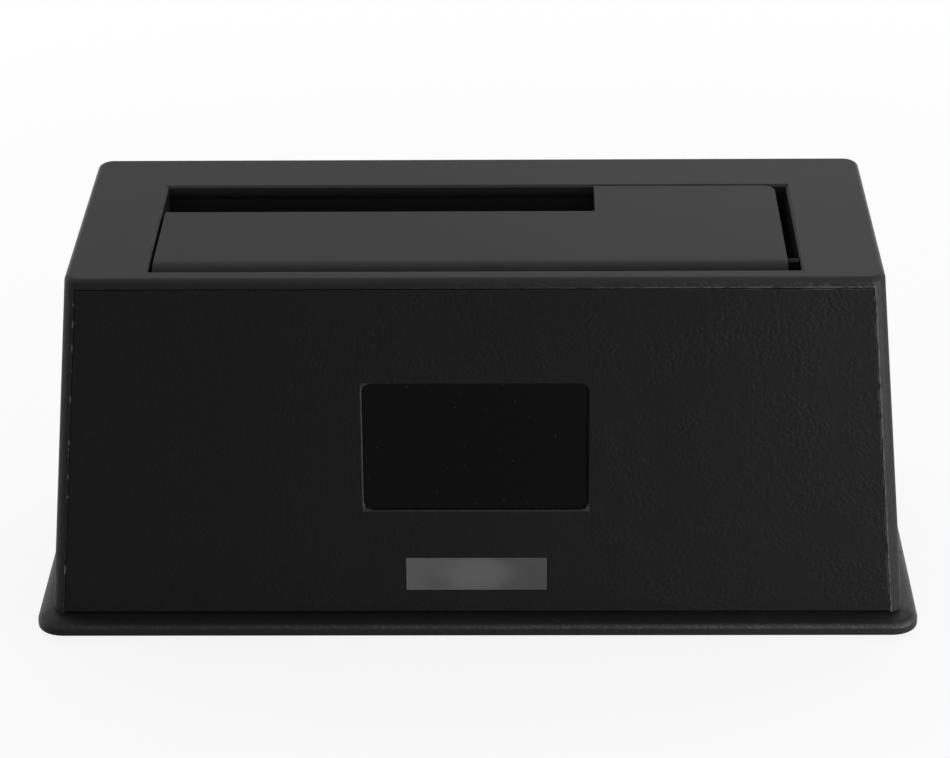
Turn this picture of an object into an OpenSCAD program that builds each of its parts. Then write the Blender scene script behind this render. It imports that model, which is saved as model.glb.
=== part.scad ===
// Hard drive docking station: a drafted housing on a flanged base, with a sprung,
// L-shaped door over the drive bay. Millimetres, +Z up, the front faces -Y, and the
// origin is on the desk under the middle of the base.

/* [Housing] */
// Width of the deck between its virtual edges
deck_w = 129; // [124:0.5:150]
// Depth of the deck between its virtual edges
deck_d = 50; // [49:0.5:60]
// Height of the deck above the desk
dock_h = 61; // [58:0.5:80]
// Lean of the four outer walls
draft_deg = 4.8; // [3:0.1:6]
// Thickness of the side and rear walls
wall_t = 2.2; // [1.6:0.1:2.6]
// Thickness of the deck
deck_t = 2.4; // [2:0.1:3]
// Plan radius of the upright corners
corner_r = 2.6; // [1.4:0.1:4]
// Rounding along the rim of the deck
rim_r = 1; // [0.4:0.1:1.3]
// Chamfer round the drive opening
mouth_chamfer = 0.3; // [0.2:0.1:0.8]

/* [Base] */
// How far the feet stand below the base
foot_proud = 0.8; // [0.5:0.1:2]
// Thickness of the flange
flange_t = 2.8; // [2.4:0.1:4]
// How far the flange reaches past the housing
flange_reach = 2.6; // [1:0.1:6]
// Plan radius of the flange's corners
flange_corner_r = 4.5; // [3:0.1:8]
// Fall of the flange's top from the housing to its edge
flange_fall = 1; // [0.4:0.1:1.2]
// Rounding along the flange's upper edge
flange_edge_r = 0.8; // [0.4:0.1:1]
// Thickness of the floor
floor_t = 2; // [1.6:0.1:2.4]
// Height of the locating lip above the flange
lip_h = 2.2; // [1:0.1:3]
// Thickness of the locating lip
lip_t = 1.4; // [1:0.1:2]
// Diameter of a foot
foot_d = 10; // [8:0.5:14]
// Rounding along the underside of a foot
foot_edge_r = 0.5; // [0.2:0.1:0.7]
// Depth of a foot's pocket in the floor
foot_pocket = 1; // [0.6:0.1:1.2]

/* [Drive bay] */
// Deck at each side of the opening
bay_side_margin = 13; // [12.3:0.05:24]
// Deck in front of the opening
bay_front_margin = 3.3; // [3.2:0.1:4]
// Room between the guide's rear wall and the ports
bay_rear_room = 0.5; // [0.3:0.05:1.5]
// Width of the slot for a 2.5-inch drive
small_slot_w = 71; // [70.4:0.1:73]
// Depth of the slot for a 2.5-inch drive
small_slot_d = 11; // [10:0.1:13.5]
// Thickness of the guide's walls
guide_wall = 1.3; // [1:0.1:1.4]
// Thickness of the guide's floor
guide_floor_t = 1.4; // [1:0.1:2]
// Room between the board and the guide's floor
under_bay_room = 4.4; // [4.2:0.1:6]
// Length of an ear on the guide
ear_l = 7.6; // [7:0.1:8]
// Width of an ear on the guide
ear_w = 8; // [7:0.1:9]
// Thickness of an ear on the guide
ear_t = 2; // [1.5:0.1:3]
// Length of the deck's bosses that the ears screw to
ear_boss_h = 6; // [5:0.1:10]
// Gap between an ear and the screw post beside it
ear_post_gap = 1.8; // [0.6:0.1:3]

/* [Drive door] */
// Thickness of the door's plate
door_t = 1.8; // [1.4:0.1:2]
// Radius of the rounded front edge, centred on the hinge
nose_r = 4; // [3.8:0.1:4.2]
// Thickness of the rounded front edge
nose_t = 1.6; // [1.2:0.1:1.7]
// How far the front edge curls below the hinge
nose_drop = 1.2; // [0.8:0.1:1.4]
// Gap at the door's left edge
door_gap_left = 0.55; // [0.3:0.05:1]
// Gap at the door's right edge
door_gap_right = 2; // [1.4:0.05:3]
// Gap at the door's rear edge
door_gap_rear = 0.5; // [0.5:0.05:0.8]
// Gap at the door's front edge
door_gap_front = 0.3; // [0.25:0.05:0.4]
// Plan radius of the door's rear corner
door_corner_r = 2; // [1:0.1:4]
// Outer radius of a hinge knuckle
knuckle_r = 2.7; // [2.5:0.1:3]
// Length of a hinge knuckle
knuckle_l = 9; // [6:0.5:12]
// Radius of the end knuckle that spans the right gap
end_knuckle_r = 3.7; // [3:0.1:3.8]
// How far in front of the hinge the end knuckle is stepped down
end_step_in = 0.6; // [0.3:0.1:1]
// Height of that step above the hinge
end_step_rise = 1.6; // [1.5:0.1:2]
// Depth of the stiffening ribs under the plate
door_rib_h = 2; // [1:0.1:2.4]
// Thickness of the stiffening ribs
door_rib_t = 1.2; // [0.8:0.1:2]
// Diameter of the hinge pin
pin_d = 2; // [1.6:0.1:2.2]
// Radial running clearance on the hinge pin
pin_run_gap = 0.06; // [0.03:0.01:0.1]
// Radial clearance where the pin's ends are held
pin_seat_gap = 0.02; // [0.01:0.01:0.05]
// Length of the pin's bosses outside the guide
pin_boss_l = 1.6; // [1:0.1:2]
// Width of a stop rib under the front edge
stop_w = 6; // [4:0.5:10]
// Gap between a stop rib and the front edge
stop_gap = 0.1; // [0.05:0.05:0.3]

/* [Door spring] */
// Diameter of the spring's wire
wire_d = 0.7; // [0.5:0.05:0.75]
// Mean diameter of the coil
coil_d = 3.1; // [3:0.05:3.3]
// Whole turns in the coil
coil_turns = 5; // [3:1:6]
// Gap between turns
coil_gap = 0.45; // [0.42:0.01:0.6]
// Length of the end that is held in a knuckle
tang_l = 3; // [2:0.1:5]
// Gap round that end in its slot
tang_gap = 0.1; // [0.05:0.05:0.2]
// Drop of the leg on the guide's front wall
wall_leg = 9; // [6:0.5:14]

/* [Front panel] */
// Thickness of the panel
panel_t = 2; // [1.6:0.1:2.1]
// Housing left showing at each side of the panel
panel_side_border = 2; // [1.6:0.1:2.6]
// Housing left showing above the panel
panel_top_border = 1.6; // [1.2:0.1:2.2]
// Seam round the panel
seam = 0.1; // [0.1:0.05:0.4]
// Gap between the panel and the flange
panel_foot_gap = 0.3; // [0.1:0.05:0.6]
// Width of the ledge behind the panel
ledge_w = 4.5; // [3:0.1:6]
// Thickness of the ledge behind the panel
ledge_t = 1.2; // [0.8:0.1:1.4]
// Clips behind each side of the panel
clip_rows = 3; // [2:1:4]
// Length of a clip behind the panel
clip_l = 6; // [4:0.5:8]
// Thickness of a clip behind the panel
clip_t = 1.2; // [0.8:0.1:1.4]
// How far a clip hooks behind its ledge
clip_hook = 0.9; // [0.5:0.1:1.5]
// Width of the badge plate's recess
badge_w = 36; // [20:0.5:50]
// Height of the badge plate's recess
badge_h = 21.8; // [12:0.1:26]
// Distance from the deck's edge to the middle of the badge, down the face
badge_down = 28.5; // [24:0.1:32]
// Corner radius of the badge plate's recess
badge_r = 1.5; // [0.8:0.1:4]
// Depth of the badge plate's recess
badge_recess = 1.1; // [0.9:0.05:1.3]
// Thickness of the badge plate
badge_t = 0.6; // [0.4:0.05:0.8]
// Width of the status lens
lens_w = 22.9; // [12:0.1:30]
// Height of the status lens
lens_h = 5.8; // [3.5:0.1:7]
// Distance from the flange to the middle of the lens, up the face
lens_up = 6.9; // [5.6:0.1:10]
// Rim of the lens behind the panel
lens_rim = 0.9; // [0.6:0.1:1.2]
// Thickness of the lens's rim
lens_rim_t = 0.8; // [0.6:0.1:1]
// Width of the light guide behind the lens
pipe_w = 6; // [4:0.1:10]
// Height of the light guide behind the lens
pipe_h = 2.6; // [2:0.1:3.4]
// Height of the light guide above the lens's lower edge
pipe_rise = 1.2; // [1:0.1:2]

/* [Board] */
// Height of the board above the floor
board_standoff = 3.2; // [3:0.1:5]
// Thickness of the board
board_t = 1.6; // [1:0.1:2]
// Gap between the board and what stands round it
board_gap = 0.4; // [0.2:0.05:0.8]
// Radius of the board's corners
board_corner_r = 1.5; // [0.5:0.1:3]
// Side of the bridge chip
chip_w = 10; // [7:0.5:14]
// Thickness of the bridge chip
chip_t = 1.4; // [1:0.1:2]
// Diameter of a capacitor
cap_d = 6.3; // [5:0.1:7]
// Height of a capacitor
cap_h = 7.7; // [5:0.1:9]
// Height of a capacitor's square foot
cap_foot_h = 0.8; // [0.5:0.1:1.2]
// Side of the power coil
choke_w = 7; // [5:0.1:9]
// Radius of the power coil's corners
choke_corner_r = 1; // [0.5:0.1:2]
// Height of the power coil
choke_h = 3.6; // [2.5:0.1:4]
// Size of the memory chip
memory_size = [5, 4, 1.5]; // [1:0.1:6]
// Size of the crystal
crystal_size = [11, 4.6, 3.4]; // [2.5:0.1:12]
// Size of the regulator
regulator_size = [6.5, 3.6, 1.7]; // [1:0.1:8]
// Size of the status light
led_size = [3.2, 1.6, 1.5]; // [1:0.1:4]
// Place of the bridge chip's middle
chip_at = [8, -3]; // [-10:0.5:20]
// Place of the memory chip's middle
memory_at = [24, -9]; // [-20:0.5:30]
// Place of the crystal's middle
crystal_at = [-4, -16]; // [-20:0.5:10]
// Place of the power coil's middle
choke_at = [40, 2]; // [-20:0.5:50]
// Place of the regulator's middle
regulator_at = [40, -12]; // [-20:0.5:50]
// Place of the first capacitor
cap_x0 = -16; // [-18:0.5:-10]
// Spacing of the capacitors
cap_pitch = 7.5; // [7:0.1:9]
// Capacitors in the row
cap_count = 3; // [1:1:3]

/* [Drive socket] */
// Length of the socket
sata_l = 42.6; // [40:0.1:45]
// Width of the socket
sata_w = 7; // [6:0.1:8]
// Height of the socket above the board
sata_h = 9; // [8.5:0.1:10]
// Offset of the socket from the bay's middle, to the left
sata_offset = 20.8; // [20:0.1:22]
// Distance from the bay's rear face to the socket's middle
sata_from_rear = 4.5; // [4.2:0.1:5]
// Contact spacing
sata_pitch = 1.27; // [1.27]
// Depth of the socket's slots
sata_slot_h = 6; // [4:0.1:7]
// Width of the socket's slots
sata_slot_w = 2.4; // [2:0.1:3]
// Wall between the two slots
sata_web = 1.7; // [1:0.1:2.5]
// Length of the key at the end of each slot
sata_key = 1.2; // [0.8:0.1:1.6]
// Width and thickness of a contact
sata_contact = [0.7, 0.4]; // [0.3:0.1:0.8]

/* [Rear ports] */
// Top of the shallow recess that holds the ports
port_top = 22; // [20.5:0.5:26]
// Bottom of the recess above the flange
port_rise = 1.4; // [1:0.1:2.4]
// Depth of the recess at its top
port_sink = 0.25; // [0.1:0.05:0.6]
// Wall left behind the recess
port_wall = 2; // [1.6:0.1:2.4]
// Left end of the recess
port_x0 = -42; // [-46:0.5:-40]
// Right end of the recess
port_x1 = 46; // [44:0.5:47]
// Gap round each port in its cut-out
port_gap = 0.3; // [0.15:0.05:0.6]
// Position of the data port
usb_x = 18; // [16:0.5:22]
// Width of the data port
usb_w = 12; // [11:0.1:12.5]
// Height of the data port
usb_h = 10.8; // [10:0.1:11.2]
// Depth of the data port
usb_d = 15.8; // [14:0.1:16]
// How far the data port stands out of the recess
usb_proud = 0.9; // [0.2:0.1:1.2]
// Thickness of the data port's metal shell
usb_shell_t = 0.4; // [0.3:0.05:0.6]
// Cut across the data port's upper corners
usb_chamfer = 2.4; // [1.6:0.1:3]
// Cut across the mouth's upper corners
usb_mouth_chamfer = 1.7; // [1.2:0.1:2.2]
// Width and height of the data port's mouth
usb_mouth = [8.5, 7.8]; // [7:0.1:9]
// Depth of the data port's mouth
usb_mouth_d = 9; // [7:0.1:11]
// Width and height of the data port's tongue
usb_tongue = [5.6, 3.2]; // [2.6:0.1:6]
// How far the tongue stops short of the mouth
usb_tongue_short = 0.8; // [0.4:0.1:2]
// Width and thickness of a data contact
usb_contact = [1, 0.2]; // [0.2:0.1:1.2]
// Position of the power jack
jack_x = 36; // [34:0.5:38]
// Width of the power jack
jack_w = 9; // [8.6:0.1:10]
// Height of the power jack's body
jack_h = 10.8; // [9.8:0.1:11.4]
// Depth of the power jack's body behind the wall
jack_d = 11; // [10:0.1:11.6]
// Height of the power jack's middle above the board
jack_axis_h = 5.4; // [5:0.1:6]
// Radius of the power jack's collar
jack_collar_r = 4.4; // [4:0.1:4.8]
// Radius of the power jack's bore
jack_bore_r = 3.15; // [2.8:0.05:3.3]
// Depth of the power jack's bore
jack_bore_l = 9.5; // [8:0.1:10]
// Radius of the power jack's centre pin
jack_pin_r = 1.05; // [0.8:0.05:1.25]
// How far the centre pin stops short of the collar's face
jack_pin_short = 0.6; // [0.3:0.1:1.5]

/* [Power switch] */
// Position of the switch
switch_x = -30; // [-32:0.5:-28]
// Height of the switch's middle above the board
switch_rise = 5.4; // [5:0.1:7]
// Width of the switch's body
switch_w = 13.4; // [13:0.1:15]
// Height of the switch's body
switch_h = 8.4; // [8:0.1:9]
// Depth of the switch's body behind the wall's face
switch_d = 10.8; // [9:0.1:12]
// Width and thickness of the switch's legs
switch_leg = [1.6, 0.8]; // [0.5:0.1:2]
// Width of the bezel past the body
bezel_rim = 0.8; // [0.5:0.1:1.2]
// Thickness of the bezel
bezel_t = 1.2; // [0.8:0.1:1.6]
// Thickness of the walls round the rocker
switch_wall = 1.1; // [0.9:0.1:1.3]
// Gap between the rocker and its frame
rocker_gap = 0.25; // [0.15:0.05:0.4]
// Room at each end for the tips to swing
rocker_swing = 0.4; // [0.4:0.05:0.8]
// Radius of the rocker's heel, round its pivot
rocker_heel_r = 2.2; // [1.6:0.1:2.6]
// Tilt of the rocker to each side of level
rocker_tilt = 9; // [6:0.5:10]
// Depth of the rocker's pivot behind the wall's face
rocker_pivot_in = 1.6; // [1.2:0.1:2]
// Height of the rocker's tips in front of the pivot
rocker_tip = 2.8; // [2.4:0.1:3.2]
// Dip at the middle of the rocker's face
rocker_dip = 0.9; // [0.4:0.1:1.2]
// Radius of the rocker's trunnions
trunnion_r = 0.8; // [0.6:0.05:1]
// Length of the rocker's trunnions
trunnion_l = 0.7; // [0.5:0.05:0.8]
// Radial running clearance on the trunnions
trunnion_run_gap = 0.06; // [0.03:0.01:0.1]

/* [Fasteners] */
// Radius of the housing's screw posts
post_r = 3.5; // [3:0.1:3.8]
// Radius of the base's screw seats
seat_r = 4.5; // [4.2:0.1:4.8]
// Height of the base's screw seats above the floor
seat_h = 4.2; // [4:0.1:5]
// Radius of the screws' shanks
screw_r = 1.4; // [1.2:0.05:1.5]
// Radius of the screws' heads
screw_head_r = 2.7; // [2.4:0.1:2.8]
// Height of the screws' heads
screw_head_h = 1.8; // [1.4:0.1:2]
// Width of the screws' cross recess
screw_recess_w = 0.8; // [0.5:0.1:1]
// Depth of the screws' cross recess
screw_recess_h = 1; // [0.6:0.1:1.2]
// Length of the base screws' shanks
base_screw_l = 11; // [8:0.5:16]
// Length of the guide screws' shanks
guide_screw_l = 6.4; // [5:0.1:7]
// Length of the board screws' shanks
board_screw_l = 4; // [3.5:0.1:4.4]
// Radial clearance round a screw
screw_gap = 0.05; // [0.02:0.01:0.1]
// Radius of the guide's and board's screw bosses
boss_r = 3; // [2.6:0.1:3]

/* [Clearances] */
// Clearance between pieces that locate one another
fit_gap = 0.25; // [0.15:0.05:0.4]

/* [Hidden] */

$fn = 48;
hull_fn = 32;
over = 1;
sliver = 0.01;

// Levels, from the desk up
base_z = foot_proud;
floor_top = base_z + floor_t;
flange_top = base_z + flange_t;
board_z = floor_top + board_standoff;
board_top = board_z + board_t;
guide_z0 = board_top + under_bay_room;
guide_floor_top = guide_z0 + guide_floor_t;
deck_under = dock_h - deck_t;
seat_top = floor_top + seat_h;

// The drafted walls, at a height and down the sloping front
slope = tan(draft_deg);
function half_w(z) = deck_w / 2 + (dock_h - z) * slope;
function half_d(z) = deck_d / 2 + (dock_h - z) * slope;
function face_half_w(down) = deck_w / 2 + down * sin(draft_deg);
face_l = (dock_h - flange_top) / cos(draft_deg);
lens_down = face_l - lens_up;

// The pad that the ports pass through, and what stands behind it
pad_y = half_d(port_top) - port_sink - port_wall;
port_face = pad_y + port_wall;
jack_body_y1 = pad_y - port_gap;
jack_back = jack_body_y1 - jack_d;
switch_back = port_face - switch_d;

// The bay, in front of the ports, with its slot and its door
bay_w = deck_w - 2 * bay_side_margin;
bay_y0 = -deck_d / 2 + bay_front_margin;
bay_y1 = min(jack_back, switch_back) - bay_rear_room - guide_wall;
bay_d = bay_y1 - bay_y0;
guide_x = bay_w / 2 + guide_wall;
slot_x1 = -bay_w / 2 + small_slot_w;
slot_y0 = bay_y1 - small_slot_d;
hinge_y = bay_y0 + door_gap_front + nose_r;
hinge_z = dock_h - nose_r;
door_x0 = -bay_w / 2 + door_gap_left;
door_x1 = bay_w / 2 - door_gap_right;
door_y1 = bay_y1 - door_gap_rear;
pin_half = guide_x + pin_boss_l;
stop_xs = [-bay_w / 4, bay_w / 4];
nose_end = hinge_z - nose_drop;

// The torsion spring, in the hinge's frame: up the guide's wall, round the pin, into a knuckle
coil_steps = 8;
coil_sides = 6;
coil_r = coil_d / 2;
coil_pitch = wire_d + coil_gap;
coil_x0 = knuckle_l / 2 + coil_pitch;
coil_x1 = coil_x0 + coil_pitch * (coil_turns + 1 / 4);
coil_last = coil_turns * coil_steps + coil_steps / 4;
wall_leg_y = -(nose_r + door_gap_front) + wire_d / 2 + fit_gap;
function coil_angle(i) = 180 - 360 * i / coil_steps;
function coil_out(i) = [0, cos(coil_angle(i)), sin(coil_angle(i))];
coil_points = [for (i = [0 : coil_last]) [coil_x0 + coil_pitch * i / coil_steps, 0, 0] + coil_r * coil_out(i)];
tang_bend = wire_d;
tang_points = [for (a = [30 : 30 : 90])
    [coil_x1 + tang_bend * (1 - cos(a)), tang_bend * sin(a), coil_r]];
held_knuckle_x = coil_x1 + coil_pitch;
spring_points = concat(
    [[coil_x0, wall_leg_y, -wall_leg], [coil_x0, -coil_r, -nose_drop - wire_d]],
    coil_points,
    tang_points,
    [[held_knuckle_x + tang_l, tang_bend, coil_r]]);
spring_outs = concat(
    [coil_out(0), coil_out(0)],
    [for (i = [0 : coil_last]) coil_out(i)],
    [for (i = [0 : len(tang_points)]) coil_out(coil_last)]);
spring_least_gap = min([for (i = [0 : coil_last - coil_steps + 2], j = [i + coil_steps - 2 : coil_last])
    norm(coil_points[i] - coil_points[j])]) - wire_d;

// Hinge knuckles, with the spring between the third and the fourth
knuckle_xs = [door_x0, (door_x0 - knuckle_l / 2) / 2, -knuckle_l / 2, held_knuckle_x, door_x1 - knuckle_l];

// Screw posts, ears and the board
post_x = half_w(deck_under) - wall_t - post_r + fit_gap;
clip_depth = panel_t + ledge_t + fit_gap + clip_t;
post_y = half_d(deck_under) - (clip_depth + fit_gap) / cos(draft_deg) - post_r;
posts = [for (x = [-post_x, post_x], y = [-post_y, post_y]) [x, y]];
ear_x = guide_x + ear_l - boss_r - fit_gap;
ear_y = post_y - post_r - ear_post_gap - ear_w / 2;
ear_ys = [-ear_y, ear_y];
ears = [for (x = [-ear_x, ear_x], y = ear_ys) [x, y]];
ear_top = deck_under - ear_boss_h;
board_x = post_x - seat_r - board_gap;
board_y0 = bay_y0 - board_gap * 2;
board_y1 = pad_y - board_gap;
board_hole_in = boss_r + board_gap;
board_holes = [for (x = [-board_x + board_hole_in, board_x - board_hole_in],
    y = [board_y0 + board_hole_in, board_y1 - board_hole_in]) [x, y]];

// The drive socket
sata_x = -sata_offset;
sata_y = bay_y1 - sata_from_rear;
sata_counts = [7, 15];
sata_end = (sata_l - (sata_counts[0] + sata_counts[1] + 2) * sata_pitch - sata_web) / 2;
sata_slots = [
    [sata_x - sata_l / 2 + sata_end, sata_counts[0]],
    [sata_x - sata_l / 2 + sata_end + (sata_counts[0] + 1) * sata_pitch + sata_web, sata_counts[1]]];

// The rear ports
port_z0 = flange_top + port_rise;
usb_front = port_face + usb_proud;
usb_back = usb_front - usb_d;
usb_mid = usb_h / 2;
jack_z = board_top + jack_axis_h;
jack_front = port_face + port_gap;
switch_z = board_top + switch_rise;
rocker_y = port_face - rocker_pivot_in;
rocker_w = switch_w - 2 * switch_wall - 2 * rocker_gap - 2 * rocker_swing;
rocker_h = switch_h - 2 * switch_wall - 2 * rocker_gap;

// The capacitors stand midway between the guide and the ports' wall
cap_y = (bay_y1 + guide_wall + pad_y) / 2;

plastic_grey = [0.21, 0.21, 0.21];
plastic_black = [0.11, 0.11, 0.115];

// Shapes that several pieces share

// A profile drawn in Y and Z, carried along X
module along_x(x0, x1) {
    translate([x0, 0, 0])
        rotate([90, 0, 90])
            linear_extrude(x1 - x0)
                children();
}

// A profile drawn in X and Z, carried along Y
module along_y(y0, y1) {
    translate([0, y1, 0])
        rotate([90, 0, 0])
            linear_extrude(y1 - y0)
                children();
}

// The frame of the sloping front: its Y is the depth behind the face, its -Z runs down it
module front_prism(y0, y1) {
    translate([0, -deck_d / 2, dock_h])
        rotate([-draft_deg, 0, 0])
            along_y(y0, y1)
                children();
}

module round_rect(w, h, r) {
    square([w - 2 * r, h], center = true);
    square([w, h - 2 * r], center = true);
    for (x = [-1, 1], y = [-1, 1])
        translate([x * (w / 2 - r), y * (h / 2 - r)])
            circle(r);
}

// A disc with its top edge rounded, standing on z = 0
module rounded_disc(r, h, edge) {
    rotate_extrude($fn = hull_fn) {
        square([r - edge, h]);
        square([r, h - edge]);
        translate([r - edge, h - edge])
            circle(edge);
    }
}

// The drafted outline, inset from the outer walls, from z0 to z1, with its top edge rounded or sharp
module drafted_block(inset, z0, z1, edge) {
    r = corner_r;
    hull() {
        for (x = [-1, 1], y = [-1, 1]) {
            translate([x * (half_w(z0) - inset - r), y * (half_d(z0) - inset - r), z0])
                cylinder(r1 = r, r2 = 0, h = r, $fn = hull_fn);
            translate([x * (half_w(z1) - inset - r), y * (half_d(z1) - inset - r), z1 - r])
                if (edge > 0)
                    rounded_disc(r, r, edge);
                else
                    cylinder(r1 = 0, r2 = r, h = r, $fn = hull_fn);
        }
    }
}

// A screw standing on its head, with a cross recess; z = 0 is under the head
module screw(length) {
    recess_l = 2 * (screw_head_r - screw_recess_h);
    difference() {
        translate([0, 0, -screw_head_h])
            rotate_extrude() {
                square([screw_r, length + screw_head_h]);
                square([screw_head_r, screw_head_h]);
            }
        for (turn = [0, 90])
            rotate([0, 0, turn])
                translate([-recess_l / 2, -screw_recess_w / 2, -screw_head_h - over])
                    cube([recess_l, screw_recess_w, screw_recess_h + over]);
    }
}

// A wire along points p, each with a direction that the first side of its ring faces
function unit(v) = v / norm(v);
function path_tangent(p, i) = unit(p[min(i + 1, len(p) - 1)] - p[max(i - 1, 0)]);
function ring_points(p, outs, i, r, sides) =
    let (t = path_tangent(p, i), u = unit(outs[i] - (outs[i] * t) * t), v = cross(t, u))
    [for (k = [0 : sides - 1]) p[i] + r * (cos(360 * k / sides) * u + sin(360 * k / sides) * v)];

module wire_along(p, outs, r, sides) {
    n = len(p);
    end = (n - 1) * sides;
    points = [for (i = [0 : n - 1]) each ring_points(p, outs, i, r, sides)];
    walls = [for (i = [0 : n - 2], k = [0 : sides - 1])
        let (a = i * sides + k, b = i * sides + (k + 1) % sides)
        each [[a, a + sides, b + sides], [a, b + sides, b]]];
    first_cap = [for (k = [1 : sides - 2]) [0, k, k + 1]];
    last_cap = [for (k = [1 : sides - 2]) [end, end + k + 1, end + k]];
    polyhedron(points, concat(walls, first_cap, last_cap));
}

// Housing

// Outline of the front panel on the sloping face, drawn in by a gap at its sides and top
module panel_outline(gap) {
    top = panel_top_border + gap;
    side = panel_side_border + gap;
    bottom = face_l + 2 * over;
    polygon([
        [-face_half_w(bottom) + side, -bottom], [face_half_w(bottom) - side, -bottom],
        [face_half_w(top) - side, -top], [-face_half_w(top) + side, -top]]);
}

// The strip behind one side of the front panel
module ledge_outline() {
    top = panel_top_border + deck_t / 2;
    bottom = face_l - (panel_t + ledge_t) * slope - seam;
    inner = panel_side_border + ledge_w;
    outer = wall_t / 2;
    polygon([
        [face_half_w(bottom) - inner, -bottom], [face_half_w(bottom) - outer, -bottom],
        [face_half_w(top) - outer, -top], [face_half_w(top) - inner, -top]]);
}

// The upright pad inside the rear wall that the ports pass through
module port_pad() {
    top = port_top + wall_t;
    along_x(port_x0 - wall_t, port_x1 + wall_t)
        polygon([
            [pad_y, flange_top], [half_d(flange_top) - wall_t / 2, flange_top],
            [half_d(top) - wall_t / 2, top], [pad_y, top]]);
}

module port_cutouts() {
    translate([port_x0, port_face, port_z0])
        cube([port_x1 - port_x0, half_d(0), port_top - port_z0]);
    translate([usb_x - usb_w / 2 - port_gap, pad_y - over, board_top - port_gap])
        cube([usb_w + 2 * port_gap, half_d(0), usb_h + 2 * port_gap]);
    translate([jack_x, pad_y - over, jack_z])
        rotate([-90, 0, 0])
            cylinder(r = jack_collar_r + port_gap, h = half_d(0));
    translate([switch_x - switch_w / 2 - port_gap, pad_y - over, switch_z - switch_h / 2 - port_gap])
        cube([switch_w + 2 * port_gap, half_d(0), switch_h + 2 * port_gap]);
}

// The chamfer round the bay's mouth, seen from the side: from a to b across, opening upwards
module mouth_flare(a, b, flare) {
    z0 = dock_h - mouth_chamfer;
    polygon([[a, z0], [b, z0], [b + flare, z0 + flare], [a - flare, z0 + flare]]);
}

module drive_mouth() {
    translate([-bay_w / 2, bay_y0, deck_under - over])
        cube([bay_w, bay_d, deck_t + 2 * over]);
    flare = mouth_chamfer + over;
    intersection() {
        along_x(-bay_w / 2 - flare, bay_w / 2 + flare)
            mouth_flare(bay_y0, bay_y1, flare);
        along_y(bay_y0 - flare, bay_y1 + flare)
            mouth_flare(-bay_w / 2, bay_w / 2, flare);
    }
}

module top_housing() {
    color(plastic_grey)
        difference() {
            union() {
                difference() {
                    drafted_block(0, flange_top - over, dock_h, rim_r);
                    drafted_block(wall_t, flange_top - 2 * over, deck_under, 0);
                    front_prism(-over, max(wall_t, panel_t) + seam)
                        panel_outline(0);
                    translate([-deck_w, -deck_d, flange_top - dock_h])
                        cube([2 * deck_w, 2 * deck_d, dock_h]);
                }
                for (side = [0, 1])
                    mirror([side, 0, 0])
                        front_prism(panel_t, panel_t + ledge_t)
                            ledge_outline();
                port_pad();
                for (p = posts)
                    translate([p[0], p[1], seat_top])
                        cylinder(r = post_r, h = deck_under + deck_t / 2 - seat_top);
                for (e = ears)
                    translate([e[0], e[1], ear_top])
                        cylinder(r = boss_r, h = ear_boss_h + deck_t / 2);
            }
            drive_mouth();
            port_cutouts();
            for (p = posts)
                translate([p[0], p[1], seat_top - over])
                    cylinder(r = screw_r + screw_gap, h = base_screw_l + over);
            for (e = ears)
                translate([e[0], e[1], ear_top - over])
                    cylinder(r = screw_r + screw_gap, h = guide_screw_l + over);
        }
}

module badge_outline(gap) {
    translate([0, -badge_down])
        round_rect(badge_w - 2 * gap, badge_h - 2 * gap, badge_r - gap);
}

module lens_outline(grow) {
    translate([0, -lens_down])
        square([lens_w + 2 * grow, lens_h + 2 * grow], center = true);
}

// A strip along the ledge's inner edge, from x0 to x1 past that edge, for one clip
module clip_outline(down, x0, x1) {
    function edge(d) = face_half_w(d) - panel_side_border - ledge_w - fit_gap;
    d0 = down - clip_l / 2;
    d1 = down + clip_l / 2;
    polygon([[edge(d0) + x0, -d0], [edge(d0) + x1, -d0], [edge(d1) + x1, -d1], [edge(d1) + x0, -d1]]);
}

module panel_clips() {
    for (side = [0, 1], row = [1 : clip_rows])
        mirror([side, 0, 0]) {
            down = face_l * row / (clip_rows + 1);
            front_prism(panel_t - sliver, clip_depth)
                clip_outline(down, -clip_t, 0);
            front_prism(clip_depth - clip_t, clip_depth)
                clip_outline(down, -clip_t, fit_gap + clip_hook);
        }
}

module front_panel() {
    color(plastic_black)
        difference() {
            union() {
                front_prism(0, panel_t)
                    panel_outline(seam);
                panel_clips();
            }
            front_prism(-over, badge_recess)
                badge_outline(0);
            front_prism(-over, panel_t + over)
                lens_outline(seam / 2);
            translate([-deck_w, -deck_d * 2, flange_top + panel_foot_gap - dock_h])
                cube([2 * deck_w, 2 * deck_d, dock_h]);
        }
}

module badge_plate() {
    color([0.05, 0.05, 0.055])
        front_prism(badge_recess - badge_t, badge_recess)
            badge_outline(fit_gap / 2);
}

module status_lens() {
    pipe_end = half_d(board_top) + board_y0 - fit_gap;
    color([0.42, 0.42, 0.43])
        union() {
            front_prism(0, panel_t)
                lens_outline(0);
            front_prism(panel_t, panel_t + lens_rim_t)
                lens_outline(lens_rim);
            front_prism(panel_t + lens_rim_t, pipe_end)
                translate([-pipe_w / 2, -lens_down - lens_h / 2 + pipe_rise])
                    square([pipe_w, pipe_h]);
        }
}

// Base

// The flange's outer edge, and the flat that the housing stands on
module flange_corners() {
    for (x = [-1, 1], y = [-1, 1]) {
        translate([
            x * (half_w(flange_top) + flange_reach - flange_corner_r),
            y * (half_d(flange_top) + flange_reach - flange_corner_r), base_z])
            rounded_disc(flange_corner_r, flange_t - flange_fall, flange_edge_r);
        translate([x * (half_w(flange_top) - corner_r), y * (half_d(flange_top) - corner_r), base_z])
            cylinder(r = corner_r, h = flange_t, $fn = hull_fn);
    }
}

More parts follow.
